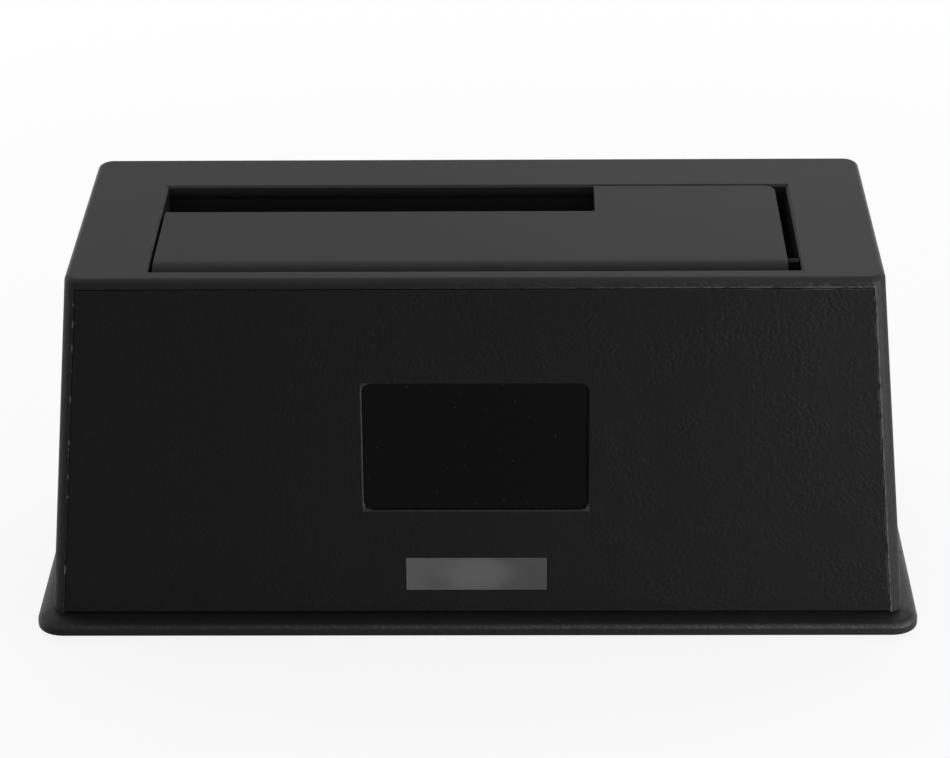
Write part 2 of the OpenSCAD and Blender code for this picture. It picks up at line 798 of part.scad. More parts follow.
module locating_lip() {
    lip_top = flange_top + lip_h;
    lip_w = 2 * (half_w(lip_top) - wall_t - fit_gap);
    rear = half_d(lip_top) - wall_t - fit_gap;
    front = -half_d(lip_top) + panel_t + ledge_t + fit_gap;
    difference() {
        translate([0, (front + rear) / 2, floor_top - sliver])
            linear_extrude(lip_top - floor_top + sliver)
                difference() {
                    round_rect(lip_w, rear - front, corner_r);
                    round_rect(lip_w - 2 * lip_t, rear - front - 2 * lip_t, corner_r);
                }
        translate([port_x0 - wall_t - fit_gap, pad_y - lip_t, floor_top - over])
            cube([port_x1 - port_x0 + 2 * wall_t + 2 * fit_gap, deck_d, lip_top]);
    }
}

module base_plate() {
    head_top = seat_top - floor_t;
    color(plastic_black)
        difference() {
            union() {
                difference() {
                    hull()
                        flange_corners();
                    translate([-half_w(flange_top) + wall_t * 2, -half_d(flange_top) + wall_t * 2, floor_top])
                        cube([2 * half_w(flange_top) - wall_t * 4, 2 * half_d(flange_top) - wall_t * 4, flange_t]);
                }
                locating_lip();
                for (p = posts)
                    translate([p[0], p[1], floor_top - sliver])
                        cylinder(r = seat_r, h = seat_h + sliver);
                for (h = board_holes)
                    translate([h[0], h[1], floor_top - sliver])
                        cylinder(r = boss_r, h = board_standoff + sliver);
            }
            for (p = posts)
                translate([p[0], p[1], base_z - over]) {
                    cylinder(r = screw_r + fit_gap, h = seat_top + over);
                    cylinder(r = screw_head_r + fit_gap, h = head_top - base_z + over);
                }
            for (h = board_holes)
                translate([h[0], h[1], board_top - board_screw_l - fit_gap])
                    cylinder(r = screw_r + screw_gap, h = board_screw_l);
            for (p = posts)
                translate([p[0], p[1], base_z - over])
                    cylinder(d = foot_d + 2 * fit_gap, h = foot_pocket + over);
        }
}

// The feet cover the base screws
module rubber_feet() {
    color([0.09, 0.09, 0.09])
        for (p = posts)
            translate([p[0], p[1], 0])
                rotate_extrude() {
                    translate([0, foot_edge_r])
                        square([foot_d / 2, foot_proud + foot_pocket - foot_edge_r]);
                    square([foot_d / 2 - foot_edge_r, foot_edge_r]);
                    translate([foot_d / 2 - foot_edge_r, foot_edge_r])
                        circle(foot_edge_r);
                }
}

module base_screws() {
    color([0.55, 0.55, 0.56])
        for (p = posts)
            translate([p[0], p[1], seat_top - floor_t])
                screw(base_screw_l);
}

// Drive guide

module guide_ear() {
    translate([0, -ear_w / 2, 0])
        cube([ear_l, ear_w, ear_t]);
}

module drive_guide() {
    usb_notch = usb_back - fit_gap;
    color([0.15, 0.15, 0.155])
        difference() {
            union() {
                difference() {
                    translate([-guide_x, bay_y0 - guide_wall, guide_z0])
                        cube([2 * guide_x, bay_d + 2 * guide_wall, deck_under - guide_z0]);
                    translate([-bay_w / 2, bay_y0, guide_floor_top])
                        cube([bay_w, bay_d, dock_h]);
                }
                for (side = [0, 1], y = ear_ys)
                    mirror([side, 0, 0])
                        translate([guide_x, y, ear_top - ear_t])
                            guide_ear();
                for (side = [0, 1])
                    mirror([side, 0, 0])
                        intersection() {
                            translate([guide_x - sliver, hinge_y, hinge_z])
                                rotate([0, 90, 0])
                                    cylinder(r = knuckle_r, h = pin_boss_l + sliver);
                            translate([0, hinge_y - knuckle_r, 0])
                                cube([deck_w, 2 * knuckle_r, deck_under]);
                        }
                for (x = stop_xs)
                    translate([x - stop_w / 2, bay_y0, nose_end - stop_gap - stop_w])
                        cube([stop_w, nose_t, stop_w]);
            }
            translate([sata_x - sata_l / 2 - fit_gap, sata_y - sata_w / 2 - fit_gap, guide_z0 - over])
                cube([sata_l + 2 * fit_gap, sata_w + 2 * fit_gap, guide_floor_t + 2 * over]);
            translate([usb_x - usb_w / 2 - fit_gap, usb_notch, guide_z0 - over])
                cube([usb_w + 2 * fit_gap, bay_d, board_top + usb_h + fit_gap - guide_z0 + over]);
            translate([-deck_w / 2, hinge_y, hinge_z])
                rotate([0, 90, 0])
                    cylinder(r = pin_d / 2 + pin_seat_gap, h = deck_w);
            for (e = ears)
                translate([e[0], e[1], 0])
                    cylinder(r = screw_r + fit_gap, h = dock_h);
        }
}

module guide_screws() {
    color([0.55, 0.55, 0.56])
        for (e = ears)
            translate([e[0], e[1], ear_top - ear_t])
                screw(guide_screw_l);
}

// Drive door, with its hinge pin and spring

// The L-shaped plate from above, from the hinge's line back
module door_plan() {
    translate([door_x0, hinge_y])
        square([slot_x1 - door_x0, slot_y0 - hinge_y]);
    translate([slot_x1 - sliver, hinge_y])
        square([door_x1 - slot_x1 + sliver, door_y1 - hinge_y - door_corner_r]);
    translate([slot_x1, hinge_y])
        square([door_x1 - slot_x1 - door_corner_r, door_y1 - hinge_y]);
    translate([door_x1 - door_corner_r, door_y1 - door_corner_r])
        circle(door_corner_r);
}

// The rounded front edge from the side, about the hinge
module nose_profile() {
    intersection() {
        difference() {
            circle(nose_r);
            circle(nose_r - nose_t);
        }
        translate([-nose_r, -nose_drop])
            square([nose_r + sliver, nose_r + nose_drop]);
    }
}

module door_ribs() {
    under = dock_h - door_t;
    rib_y1 = slot_y0 - door_rib_t;
    translate([door_x0, rib_y1, under - door_rib_h])
        cube([slot_x1 - door_x0, door_rib_t, door_rib_h + sliver]);
    for (x = [slot_x1, door_x1 - door_rib_t])
        translate([x, hinge_y, under - door_rib_h])
            cube([door_rib_t, door_y1 - door_corner_r - hinge_y, door_rib_h + sliver]);
    for (x = [door_x0, knuckle_xs[1], knuckle_xs[2]])
        translate([x, hinge_y, under - door_rib_h])
            cube([door_rib_t, rib_y1 - hinge_y + sliver, door_rib_h + sliver]);
}

module drive_door() {
    color(plastic_grey)
        difference() {
            union() {
                translate([0, 0, dock_h - door_t])
                    linear_extrude(door_t)
                        door_plan();
                translate([0, hinge_y, hinge_z])
                    along_x(door_x0, door_x1)
                        nose_profile();
                for (x = knuckle_xs)
                    translate([x, hinge_y, hinge_z])
                        rotate([0, 90, 0])
                            cylinder(r = knuckle_r, h = knuckle_l);
                translate([door_x1 - knuckle_l / 2, hinge_y, hinge_z])
                    rotate([0, 90, 0])
                        cylinder(r = end_knuckle_r, h = knuckle_l / 2 + door_gap_right - fit_gap);
                door_ribs();
            }
            translate([-deck_w / 2, hinge_y, hinge_z])
                rotate([0, 90, 0])
                    cylinder(r = pin_d / 2 + pin_run_gap, h = deck_w);
            translate([door_x1, hinge_y - nose_r - over, hinge_z + end_step_rise])
                cube([door_gap_right, nose_r + over - end_step_in, nose_r]);
            translate([held_knuckle_x - sliver, hinge_y + tang_bend - wire_d / 2 - tang_gap, hinge_z])
                cube([tang_l + fit_gap, wire_d + 2 * tang_gap, coil_r + wire_d / 2 + tang_gap]);
        }
}

module hinge_pin() {
    color([0.62, 0.62, 0.63])
        translate([-pin_half, hinge_y, hinge_z])
            rotate([0, 90, 0])
                cylinder(d = pin_d, h = 2 * pin_half);
}

module door_spring() {
    echo(spring_least_gap = spring_least_gap);
    color([0.6, 0.6, 0.61])
        translate([0, hinge_y, hinge_z])
            wire_along(spring_points, spring_outs, wire_d / 2, coil_sides);
}

// Board and what is on it

module main_board() {
    color([0.05, 0.25, 0.12])
        difference() {
            translate([0, (board_y0 + board_y1) / 2, board_z])
                linear_extrude(board_t)
                    round_rect(2 * board_x, board_y1 - board_y0, board_corner_r);
            for (h = board_holes)
                translate([h[0], h[1], board_z - over])
                    cylinder(r = screw_r + fit_gap, h = board_t + 2 * over);
        }
}

module board_screws() {
    color([0.55, 0.55, 0.56])
        for (h = board_holes)
            translate([h[0], h[1], board_top])
                rotate([180, 0, 0])
                    screw(board_screw_l);
}

module on_board(at, size) {
    translate([at[0] - size[0] / 2, at[1] - size[1] / 2, board_top])
        cube(size);
}

module sata_socket() {
    slot_z = board_top + sata_h - sata_slot_h;
    color([0.07, 0.07, 0.075])
        difference() {
            translate([sata_x - sata_l / 2, sata_y - sata_w / 2, board_top])
                cube([sata_l, sata_w, sata_h]);
            for (s = sata_slots) {
                length = (s[1] + 1) * sata_pitch;
                translate([s[0], sata_y - sata_slot_w / 2, slot_z])
                    cube([length, sata_slot_w, sata_h]);
                translate([s[0], sata_y - sata_slot_w / 2 - sata_key, slot_z])
                    cube([sata_key, sata_slot_w, sata_h]);
                for (i = [1 : s[1]])
                    translate([s[0] + i * sata_pitch - sata_contact[0] / 2,
                        sata_y + sata_slot_w / 2 - sliver, slot_z])
                        cube([sata_contact[0], sata_contact[1] + sliver, sata_h]);
            }
        }
}

module sata_contacts() {
    color([0.85, 0.68, 0.3])
        for (s = sata_slots, i = [1 : s[1]])
            translate([s[0] + i * sata_pitch - sata_contact[0] / 2, sata_y + sata_slot_w / 2,
                board_top + sata_h - sata_slot_h])
                cube([sata_contact[0], sata_contact[1], sata_slot_h - sata_contact[0]]);
}

module bridge_chip() {
    color([0.06, 0.06, 0.065])
        on_board(chip_at, [chip_w, chip_w, chip_t]);
}

module memory_chip() {
    color([0.06, 0.06, 0.065])
        on_board(memory_at, memory_size);
}

module crystal() {
    color([0.75, 0.75, 0.76])
        translate([crystal_at[0], crystal_at[1], board_top])
            linear_extrude(crystal_size[2])
                round_rect(crystal_size[0], crystal_size[1], crystal_size[1] / 2 - sliver);
}

module capacitors() {
    color([0.7, 0.7, 0.72])
        for (i = [0 : cap_count - 1])
            translate([cap_x0 + i * cap_pitch, cap_y, board_top]) {
                translate([-cap_d / 2, -cap_d / 2, 0])
                    cube([cap_d, cap_d, cap_foot_h]);
                cylinder(d = cap_d, h = cap_h);
            }
}

module power_choke() {
    color([0.2, 0.2, 0.21])
        translate([choke_at[0], choke_at[1], board_top])
            linear_extrude(choke_h)
                round_rect(choke_w, choke_w, choke_corner_r);
}

module regulator() {
    color([0.06, 0.06, 0.065])
        on_board(regulator_at, regulator_size);
}

module status_led() {
    color([0.9, 0.9, 0.85])
        on_board([0, board_y0 + led_size[1] / 2], led_size);
}

// Rear ports

// The data port's outline, with its two upper corners cut off
module usb_outline(w, h, cut) {
    polygon([[-w / 2, 0], [w / 2, 0], [w / 2, h - cut], [w / 2 - cut, h], [-w / 2 + cut, h],
        [-w / 2, h - cut]]);
}

module usb_shell() {
    color([0.72, 0.72, 0.73])
        translate([usb_x, 0, board_top])
            difference() {
                along_y(usb_back, usb_front)
                    usb_outline(usb_w, usb_h, usb_chamfer);
                translate([0, 0, usb_shell_t])
                    along_y(usb_back + usb_shell_t, usb_front + over)
                        usb_outline(usb_w - 2 * usb_shell_t, usb_h - 2 * usb_shell_t, usb_chamfer);
            }
}

module usb_insert() {
    mouth_z = usb_mid - usb_mouth[1] / 2;
    color([0.08, 0.08, 0.085])
        translate([usb_x, 0, board_top]) {
            difference() {
                translate([0, 0, usb_shell_t])
                    along_y(usb_back + usb_shell_t, usb_front - usb_shell_t)
                        usb_outline(usb_w - 2 * usb_shell_t, usb_h - 2 * usb_shell_t, usb_chamfer);
                translate([0, 0, mouth_z])
                    along_y(usb_front - usb_mouth_d, usb_front + over)
                        usb_outline(usb_mouth[0], usb_mouth[1], usb_mouth_chamfer);
            }
            translate([-usb_tongue[0] / 2, usb_front - usb_mouth_d - sliver, usb_mid - usb_tongue[1] / 2])
                cube([usb_tongue[0], usb_mouth_d - usb_tongue_short, usb_tongue[1]]);
        }
}

module usb_contacts() {
    spread = usb_tongue[0] / 4;
    color([0.85, 0.68, 0.3])
        for (x = [-spread, spread], side = [0, 1])
            translate([usb_x + x - usb_contact[0] / 2, usb_front - usb_mouth_d,
                board_top + usb_mid + (side == 1 ? usb_tongue[1] / 2 : -usb_tongue[1] / 2 - usb_contact[1])])
                cube([usb_contact[0], usb_mouth_d - usb_tongue_short * 2, usb_contact[1]]);
}

module jack_body() {
    color([0.07, 0.07, 0.075])
        difference() {
            union() {
                translate([jack_x - jack_w / 2, jack_back, board_top])
                    cube([jack_w, jack_d, jack_h]);
                translate([jack_x, jack_body_y1 - sliver, jack_z])
                    rotate([-90, 0, 0])
                        cylinder(r = jack_collar_r, h = jack_front - jack_body_y1 + sliver);
            }
            translate([jack_x, jack_front - jack_bore_l, jack_z])
                rotate([-90, 0, 0])
                    cylinder(r = jack_bore_r, h = jack_bore_l + over);
        }
}

module jack_pin() {
    color([0.78, 0.76, 0.7])
        translate([jack_x, jack_front - jack_bore_l, jack_z])
            rotate([-90, 0, 0])
                cylinder(r = jack_pin_r, h = jack_bore_l - jack_pin_short);
}

module switch_body() {
    inner_w = switch_w - 2 * switch_wall;
    inner_h = switch_h - 2 * switch_wall;
    color([0.06, 0.06, 0.065])
        difference() {
            union() {
                translate([switch_x, 0, switch_z]) {
                    along_y(switch_back, port_face)
                        square([switch_w, switch_h], center = true);
                    along_y(port_face, port_face + bezel_t)
                        round_rect(switch_w + 2 * bezel_rim, switch_h + 2 * bezel_rim, bezel_rim);
                }
                for (x = [-1, 1])
                    translate([switch_x + x * switch_w / 4 - switch_leg[0] / 2, switch_back, board_top])
                        cube([switch_leg[0], switch_leg[1], switch_rise]);
            }
            translate([switch_x, 0, switch_z])
                along_y(rocker_y - rocker_heel_r - 2 * rocker_gap, port_face + bezel_t + over)
                    square([inner_w, inner_h], center = true);
            translate([switch_x, rocker_y, switch_z - switch_h / 2 + switch_wall - trunnion_l - rocker_gap])
                cylinder(r = trunnion_r + trunnion_run_gap, h = inner_h + 2 * (trunnion_l + rocker_gap));
        }
}

// The rocker from above, level, about its pivot
module rocker_profile() {
    polygon([
        [-rocker_w / 2, 0], [-rocker_w / 2, rocker_tip], [0, rocker_tip - rocker_dip],
        [rocker_w / 2, rocker_tip], [rocker_w / 2, 0], [rocker_heel_r, -trunnion_r],
        [-rocker_heel_r, -trunnion_r]]);
    circle(rocker_heel_r);
}

module power_rocker() {
    color([0.09, 0.09, 0.09])
        translate([switch_x, rocker_y, switch_z])
            rotate([0, 0, rocker_tilt]) {
                translate([0, 0, -rocker_h / 2])
                    linear_extrude(rocker_h)
                        rocker_profile();
                translate([0, 0, -rocker_h / 2 - trunnion_l])
                    cylinder(r = trunnion_r, h = rocker_h + 2 * trunnion_l);
            }
}

top_housing();
front_panel();
badge_plate();
status_lens();
base_plate();
rubber_feet();
base_screws();
drive_guide();
guide_screws();
drive_door();
hinge_pin();
door_spring();
main_board();
board_screws();
sata_socket();
sata_contacts();
usb_shell();
usb_insert();
usb_contacts();
jack_body();
jack_pin();
switch_body();
power_rocker();
bridge_chip();
memory_chip();
crystal();
capacitors();
power_choke();
regulator();
status_led();
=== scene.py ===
"""Looks of a hard drive docking station: finishes, fine shapes, floor, light and camera.

Sizes in this file are in millimetres unless a name says otherwise.
"""

import math

import bmesh
import bpy
import numpy as np
from mathutils import Matrix, Vector


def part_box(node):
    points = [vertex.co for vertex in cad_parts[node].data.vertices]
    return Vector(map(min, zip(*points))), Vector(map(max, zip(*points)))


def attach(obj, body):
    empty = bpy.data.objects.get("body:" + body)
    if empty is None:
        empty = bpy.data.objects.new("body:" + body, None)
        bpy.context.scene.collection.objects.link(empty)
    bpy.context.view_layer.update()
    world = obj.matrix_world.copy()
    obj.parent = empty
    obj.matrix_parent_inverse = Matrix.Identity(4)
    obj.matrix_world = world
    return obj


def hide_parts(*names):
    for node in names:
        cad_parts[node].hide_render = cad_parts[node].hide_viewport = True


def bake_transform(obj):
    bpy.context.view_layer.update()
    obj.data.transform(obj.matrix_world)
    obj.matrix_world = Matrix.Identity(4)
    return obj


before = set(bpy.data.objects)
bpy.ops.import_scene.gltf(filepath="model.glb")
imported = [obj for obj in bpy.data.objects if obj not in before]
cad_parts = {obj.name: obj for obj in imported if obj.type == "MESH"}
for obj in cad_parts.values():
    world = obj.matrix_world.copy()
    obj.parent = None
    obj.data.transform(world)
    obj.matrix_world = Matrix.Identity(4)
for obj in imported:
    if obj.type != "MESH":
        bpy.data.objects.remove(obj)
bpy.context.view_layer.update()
MM = 0.001

# Sizes that the new pieces share with the solids
DECK_DEPTH = 50.0
DOCK_HEIGHT = 61.0
DRAFT = math.radians(4.8)
BAY_HALF_WIDTH = 51.5
BAY_FRONT = -21.7
BAY_REAR = 12.92
DOOR_END = 49.5
BOARD_TOP = 7.6
HINGE_Y = -17.4
HINGE_Z = 57.0
PANEL_TOP_Z = 59.4
PANEL_HALF_WIDTH = 62.5
FLANGE_EDGE_Z = 2.3
BADGE_DOWN = 28.5
BADGE_WIDTH = 36.0
BADGE_HEIGHT = 21.8
BADGE_RECESS = 1.1
LENS_MIDDLE_Z = 10.5
CAPACITOR_PITCH = 7.5
CAPACITOR_LID_Z = BOARD_TOP + 7.4
CAPACITOR_SECTOR_Y = 21.0
ROCKER_AT = (-30.0, 26.425, 13.0)
ROCKER_TILT = math.radians(9.0)


def linear(level):
    """A display level from 0 to 255 as a linear value, by the sRGB curve."""
    share = level / 255
    return share / 12.92 if share <= 0.04045 else ((share + 0.055) / 1.055) ** 2.4


def paint(red, green=None, blue=None):
    """A colour from display levels; one level alone is a grey."""
    green = red if green is None else green
    blue = red if blue is None else blue
    return (linear(red), linear(green), linear(blue), 1.0)


# Finishes

class Wire:
    """A socket of a node graph. Arithmetic on it adds Math nodes."""

    def __init__(self, graph, socket):
        self.graph = graph
        self.socket = socket

    def math(self, operation, first, second=0.0):
        return self.graph.node("ShaderNodeMath", {"operation": operation}, {0: first, 1: second})

    def __add__(self, other):
        return self.math("ADD", self, other)

    def __radd__(self, other):
        return self.math("ADD", other, self)

    def __sub__(self, other):
        return self.math("SUBTRACT", self, other)

    def __rsub__(self, other):
        return self.math("SUBTRACT", other, self)

    def __mul__(self, other):
        return self.math("MULTIPLY", self, other)

    def __rmul__(self, other):
        return self.math("MULTIPLY", other, self)

    def __truediv__(self, other):
        return self.math("DIVIDE", self, other)

    def __pow__(self, other):
        return self.math("POWER", self, other)

    def __abs__(self):
        return self.math("ABSOLUTE", self)

    def larger(self, other):
        return self.math("MAXIMUM", self, other)

    def fraction(self):
        return self.math("FRACT", self)


class Graph:
    """A cleared node tree. Its node() makes every node, from a type, settings, and socket values or links."""

    def __init__(self, tree):
        self.tree = tree
        self.tree.nodes.clear()

    def node(self, kind, settings, sockets, output=0):
        made = self.tree.nodes.new(kind)
        for name, value in settings.items():
            setattr(made, name, value)
        for name, value in sockets.items():
            if isinstance(value, Wire):
                self.tree.links.new(value.socket, made.inputs[name])
            else:
                made.inputs[name].default_value = value
        return Wire(self, made.outputs[output]) if made.outputs else made

    def seen_white(self):
        """1 for rays that show the surroundings: seen straight, mirrored or through something clear."""
        straight = self.node("ShaderNodeLightPath", {}, {}, "Is Camera Ray")
        mirrored = self.node("ShaderNodeLightPath", {}, {}, "Is Glossy Ray")
        through = self.node("ShaderNodeLightPath", {}, {}, "Is Transmission Ray")
        return straight.larger(mirrored).larger(through)

    def ease(self, value, low, high):
        """0 at low, 1 at high, and a smooth step between; low may be the larger."""
        settings = {"interpolation_type": "SMOOTHSTEP"}
        sockets = {"Value": value, "From Min": low, "From Max": high}
        return self.node("ShaderNodeMapRange", settings, sockets)


class Finish(Graph):
    """The material of one slot of the record: a Principled shader and what feeds it."""

    def __init__(self, slot, **constants):
        self.material = bpy.data.materials.get(slot) or bpy.data.materials.new(slot)
        self.material.use_nodes = True
        super().__init__(self.material.node_tree)
        self.surface = self.node("ShaderNodeBsdfPrincipled", {}, {})
        self.shader = self.surface.socket.node
        self.output = self.node("ShaderNodeOutputMaterial", {}, {})
        self.show(self.surface)
        self.place = self.node("ShaderNodeTexCoord", {}, {}, "Object")
        for name, value in constants.items():
            self.shader.inputs[name.replace("_", " ")].default_value = value

    def show(self, surface):
        self.tree.links.new(surface.socket, self.output.inputs[0])

    def feed(self, **sockets):
        for name, wire in sockets.items():
            self.tree.links.new(wire.socket, self.shader.inputs[name.replace("_", " ")])

    def noise(self, size, detail=2.0, where=None):
        """Cloudy noise from 0 to 1, with lumps about size across."""
        sockets = {"Vector": where or self.place, "Scale": 1 / (size * MM), "Detail": detail}
        return self.node("ShaderNodeTexNoise", {}, sockets)

    def cells(self, size, feature="F1", where=None):
        """Distance in a pattern of scattered cells about size across."""
        sockets = {"Vector": where or self.place, "Scale": 1 / (size * MM)}
        return self.node("ShaderNodeTexVoronoi", {"feature": feature}, sockets)

    def squeezed(self, x, y, z):
        """The place, multiplied along each axis, which draws a pattern out along the others."""
        return self.node("ShaderNodeMapping", {}, {"Vector": self.place, "Scale": (x, y, z)})

    def shifted(self, x, y, z, turn=0.0):
        """The place seen from a point, turned about Z."""
        settings = {"vector_type": "TEXTURE"}
        sockets = {"Vector": self.place, "Location": (x * MM, y * MM, z * MM), "Rotation": (0.0, 0.0, turn)}
        return self.node("ShaderNodeMapping", settings, sockets)

    def axis(self, name, where=None):
        """One coordinate of the place, in millimetres."""
        return self.node("ShaderNodeSeparateXYZ", {}, {"Vector": where or self.place}, name) / MM

    def mix(self, factor, first, second):
        """The first colour at 0 and the second at 1."""
        return self.node("ShaderNodeMix", {"data_type": "RGBA"}, {0: factor, 6: first, 7: second}, 2)

    def relief(self, height, depth):
        """A bump of that depth on the shader's normal."""
        sockets = {"Height": height, "Distance": depth * MM}
        self.feed(Normal=self.node("ShaderNodeBump", {}, sockets))

    def leather(self, cell):
        """Height of a leathery grain from 0 to 1: wandering pebbles with creases between, and fine pores."""
        sway = self.noise(cell * 2.2, 2.0)
        lean = self.node("ShaderNodeCombineXYZ", {}, {0: sway * (cell * MM), 1: sway * (cell * MM)})
        bent = self.node("ShaderNodeVectorMath", {"operation": "ADD"}, {0: self.place, 1: lean})
        pebble = 1 - self.ease(self.cells(cell, "SMOOTH_F1", bent), 0.15, 0.8)
        return 0.8 * pebble + 0.2 * self.noise(cell * 0.3, 2.0)

    def past_seam(self):
        """Distance outwards from the seam round the front panel, negative on the panel."""
        side = PANEL_HALF_WIDTH + (DOCK_HEIGHT - self.axis("Z")) * math.tan(DRAFT)
        return (abs(self.axis("X")) - side).larger(self.axis("Z") - PANEL_TOP_Z)

    def dots(self, size):
        """Scattered specks about size across."""
        return self.ease(self.noise(size), 0.48, 0.58)


def satin_moulding(slot, level, rough=0.5, shine=0.4, speck=0.35, depth=0.012):
    """Moulded plastic with a fine eroded texture, soft colour clouds and slightly rubbed patches."""
    finish = Finish(slot, Specular_IOR_Level=shine)
    fine = finish.noise(speck, 3.0)
    cloud = finish.noise(18.0, 3.0)
    rubbed = finish.ease(finish.noise(11.0, 4.0), 0.52, 0.74)
    finish.feed(
        Base_Color=finish.mix(cloud, paint(level * 0.92), paint(level * 1.07)),
        Roughness=rough - 0.05 + 0.1 * fine - 0.04 * rubbed,
    )
    finish.relief(fine, depth)


def housing_finish(slot, lit_deck_level, wall_level, shine, deck_bottom, end=BAY_HALF_WIDTH * 2):
    """A smooth satin deck over walls with a leathery grain. The deck is painted lighter than the walls, of
    the same plastic, as painted sheen from above. The mouth is rubbed paler by wear and the wall behind it
    has a painted highlight; the seam and the strip above the panel have painted highlights and painted
    glints.

    Below deck_bottom it is a wall, and past end, along X, it is a rougher wall whose darker colour is painted
    shade.
    """
    finish = Finish(slot, Specular_IOR_Level=shine)
    x = finish.axis("X")
    y = finish.axis("Y")
    z = finish.axis("Z")
    # Past end the wall's darker colour is painted shade of the gap round the door's end knuckle; it is
    # rougher too.
    shaded_end = finish.ease(x, end, end + 0.1)
    wall = finish.ease(z, deck_bottom, deck_bottom - 0.8).larger(shaded_end)
    across = abs(x) - BAY_HALF_WIDTH
    along = abs(y - (BAY_FRONT + BAY_REAR) / 2) - (BAY_REAR - BAY_FRONT) / 2
    from_mouth = abs(across.larger(along))
    fine = finish.noise(0.3, 3.0)
    grain = finish.leather(0.75)
    cloud = finish.noise(20.0, 3.0)
    rubbed = finish.ease(from_mouth, 0.9, 0.0) * finish.ease(finish.noise(3.0, 3.0), 0.4, 0.7)
    border = wall * finish.ease(y, -DECK_DEPTH / 2 + 0.4, -DECK_DEPTH / 2)
    # Painted glints on the strip above the panel, in patches, more toward the right.
    patchy = finish.ease(finish.noise(5.0, 2.0), 0.35, 0.6) * finish.ease(x, -30.0, 55.0)
    strip = finish.ease(z, PANEL_TOP_Z - 0.2, PANEL_TOP_Z + 0.1)
    glint_specks = border * strip * patchy * finish.ease(finish.cells(0.55), 0.6, 0.1)
    # A painted highlight along the seam: on the sides, and on the top only toward the right, weaker at the
    # left.
    lit_edges = finish.ease(z, PANEL_TOP_Z, PANEL_TOP_Z - 0.6).larger(finish.ease(x, -20.0, 55.0))
    # Painted glints: sparse bright specks along the seam at the left.
    left = finish.ease(x, 20.0, -20.0)
    glints = left * finish.ease(finish.noise(1.7), 0.585, 0.65)
    broken = finish.ease(finish.noise(1.2), 0.3, 0.6) * (1 - 0.7 * left)
    seam = border * lit_edges * finish.ease(finish.past_seam(), 0.3, 0.1)
    # The deck's colour is lighter than the walls' as painted sheen from above.
    lit_deck = finish.mix(cloud, paint(lit_deck_level * 0.96), paint(lit_deck_level * 1.04))
    side = finish.mix(0.5 * cloud + 0.5 * grain, paint(wall_level * 0.85), paint(wall_level * 1.15))
    # A painted highlight on the wall behind the mouth, paler at the top and fading downwards, for a rounded
    # edge.
    behind = finish.ease(abs(y - BAY_REAR), 0.5, 0.3) * finish.ease(across, 0.2, 0.0)
    fading = finish.ease(z, DOCK_HEIGHT - 2.3, DOCK_HEIGHT - 0.7)
    lead = behind * fading * finish.ease(z, DOCK_HEIGHT, DOCK_HEIGHT - 0.1)
    plain = finish.mix(0.8 * lead, finish.mix(wall, lit_deck, side), paint(lit_deck_level * 1.6))
    worn = finish.mix(0.35 * rubbed, plain, paint(lit_deck_level * 1.3))
    seam_lit = finish.mix(0.7 * seam * broken, worn, paint(84))
    seam_glinted = finish.mix(0.7 * seam * glints, seam_lit, paint(140))
    finish.feed(
        Base_Color=finish.mix(0.32 * glint_specks, seam_glinted, paint(88)),
        Roughness=0.47 + 0.09 * fine - 0.08 * rubbed - 0.05 * wall * grain + 0.4 * shaded_end,
    )
    finish.relief((1 - wall) * 0.35 * fine + wall * grain, 0.03)


def panel_painted_highlights(finish):
    """Painted highlights on the panel: along its edge at the right, and below and left of the badge's
    recess.
    """
    x = finish.axis("X")
    near = finish.ease(finish.past_seam(), -0.4, -0.15) * finish.ease(x, 20.0, 58.0)
    line = 0.5 * near * finish.ease(finish.noise(2.0), 0.4, 0.6)
    down = (DOCK_HEIGHT - finish.axis("Z")) / math.cos(DRAFT) - BADGE_DOWN
    across = abs(x) - BADGE_WIDTH / 2
    along = abs(down) - BADGE_HEIGHT / 2
    rim = finish.ease(abs(across.larger(along)), 0.3, 0.1)
    lit_edges = finish.ease(x, 2 - BADGE_WIDTH / 2, 0.5 - BADGE_WIDTH / 2).larger(finish.ease(down, 9.0, 10.6))
    return line.larger(rim * lit_edges * (0.2 + 0.5 * finish.noise(2.0)))


def flange_painted_highlights(finish):
    """Painted highlight on the base: a line of paler dots on the flange's rounded edge, more at the right."""
    near = finish.ease(abs(finish.axis("Z") - FLANGE_EDGE_Z), 0.4, 0.1)
    rightward = 0.7 + 0.75 * finish.ease(finish.axis("X"), -60.0, 60.0)
    return near * (0.3 + 0.32 * finish.dots(0.5)) * rightward


def leather_moulding(slot, level, rough, shine, cell, depth, painted_highlights):
    """Moulded plastic with a leathery grain, deeper in patches, and soft colour clouds.

    Painted glints lie on its grain peaks, and painted highlights along its edges.
    """
    finish = Finish(slot, Specular_IOR_Level=shine)
    grain = finish.leather(cell)
    cloud = finish.noise(30.0, 3.0)
    glint_specks = finish.ease(finish.cells(cell * 1.3), 0.3, 0.1)
    # Painted glints on grain peaks, in patches.
    painted_glints = glint_specks * finish.ease(finish.noise(6.0, 2.0), 0.42, 0.7)
    shade = finish.mix(0.6 * cloud + 0.4 * grain, paint(level * 0.85), paint(level * 1.15))
    # The edge marks mixed in here are painted highlights.
    worn = finish.mix(0.7 * painted_highlights(finish), shade, paint(80))
    finish.feed(
        Base_Color=finish.mix(0.25 * painted_glints, worn, paint(level * 2.8)),
        Roughness=rough + 0.14 - 0.18 * grain,
    )
    deeper = finish.ease(finish.noise(7.0, 2.0), 0.38, 0.62)
    finish.relief(grain * (0.3 + 0.7 * deeper), depth)


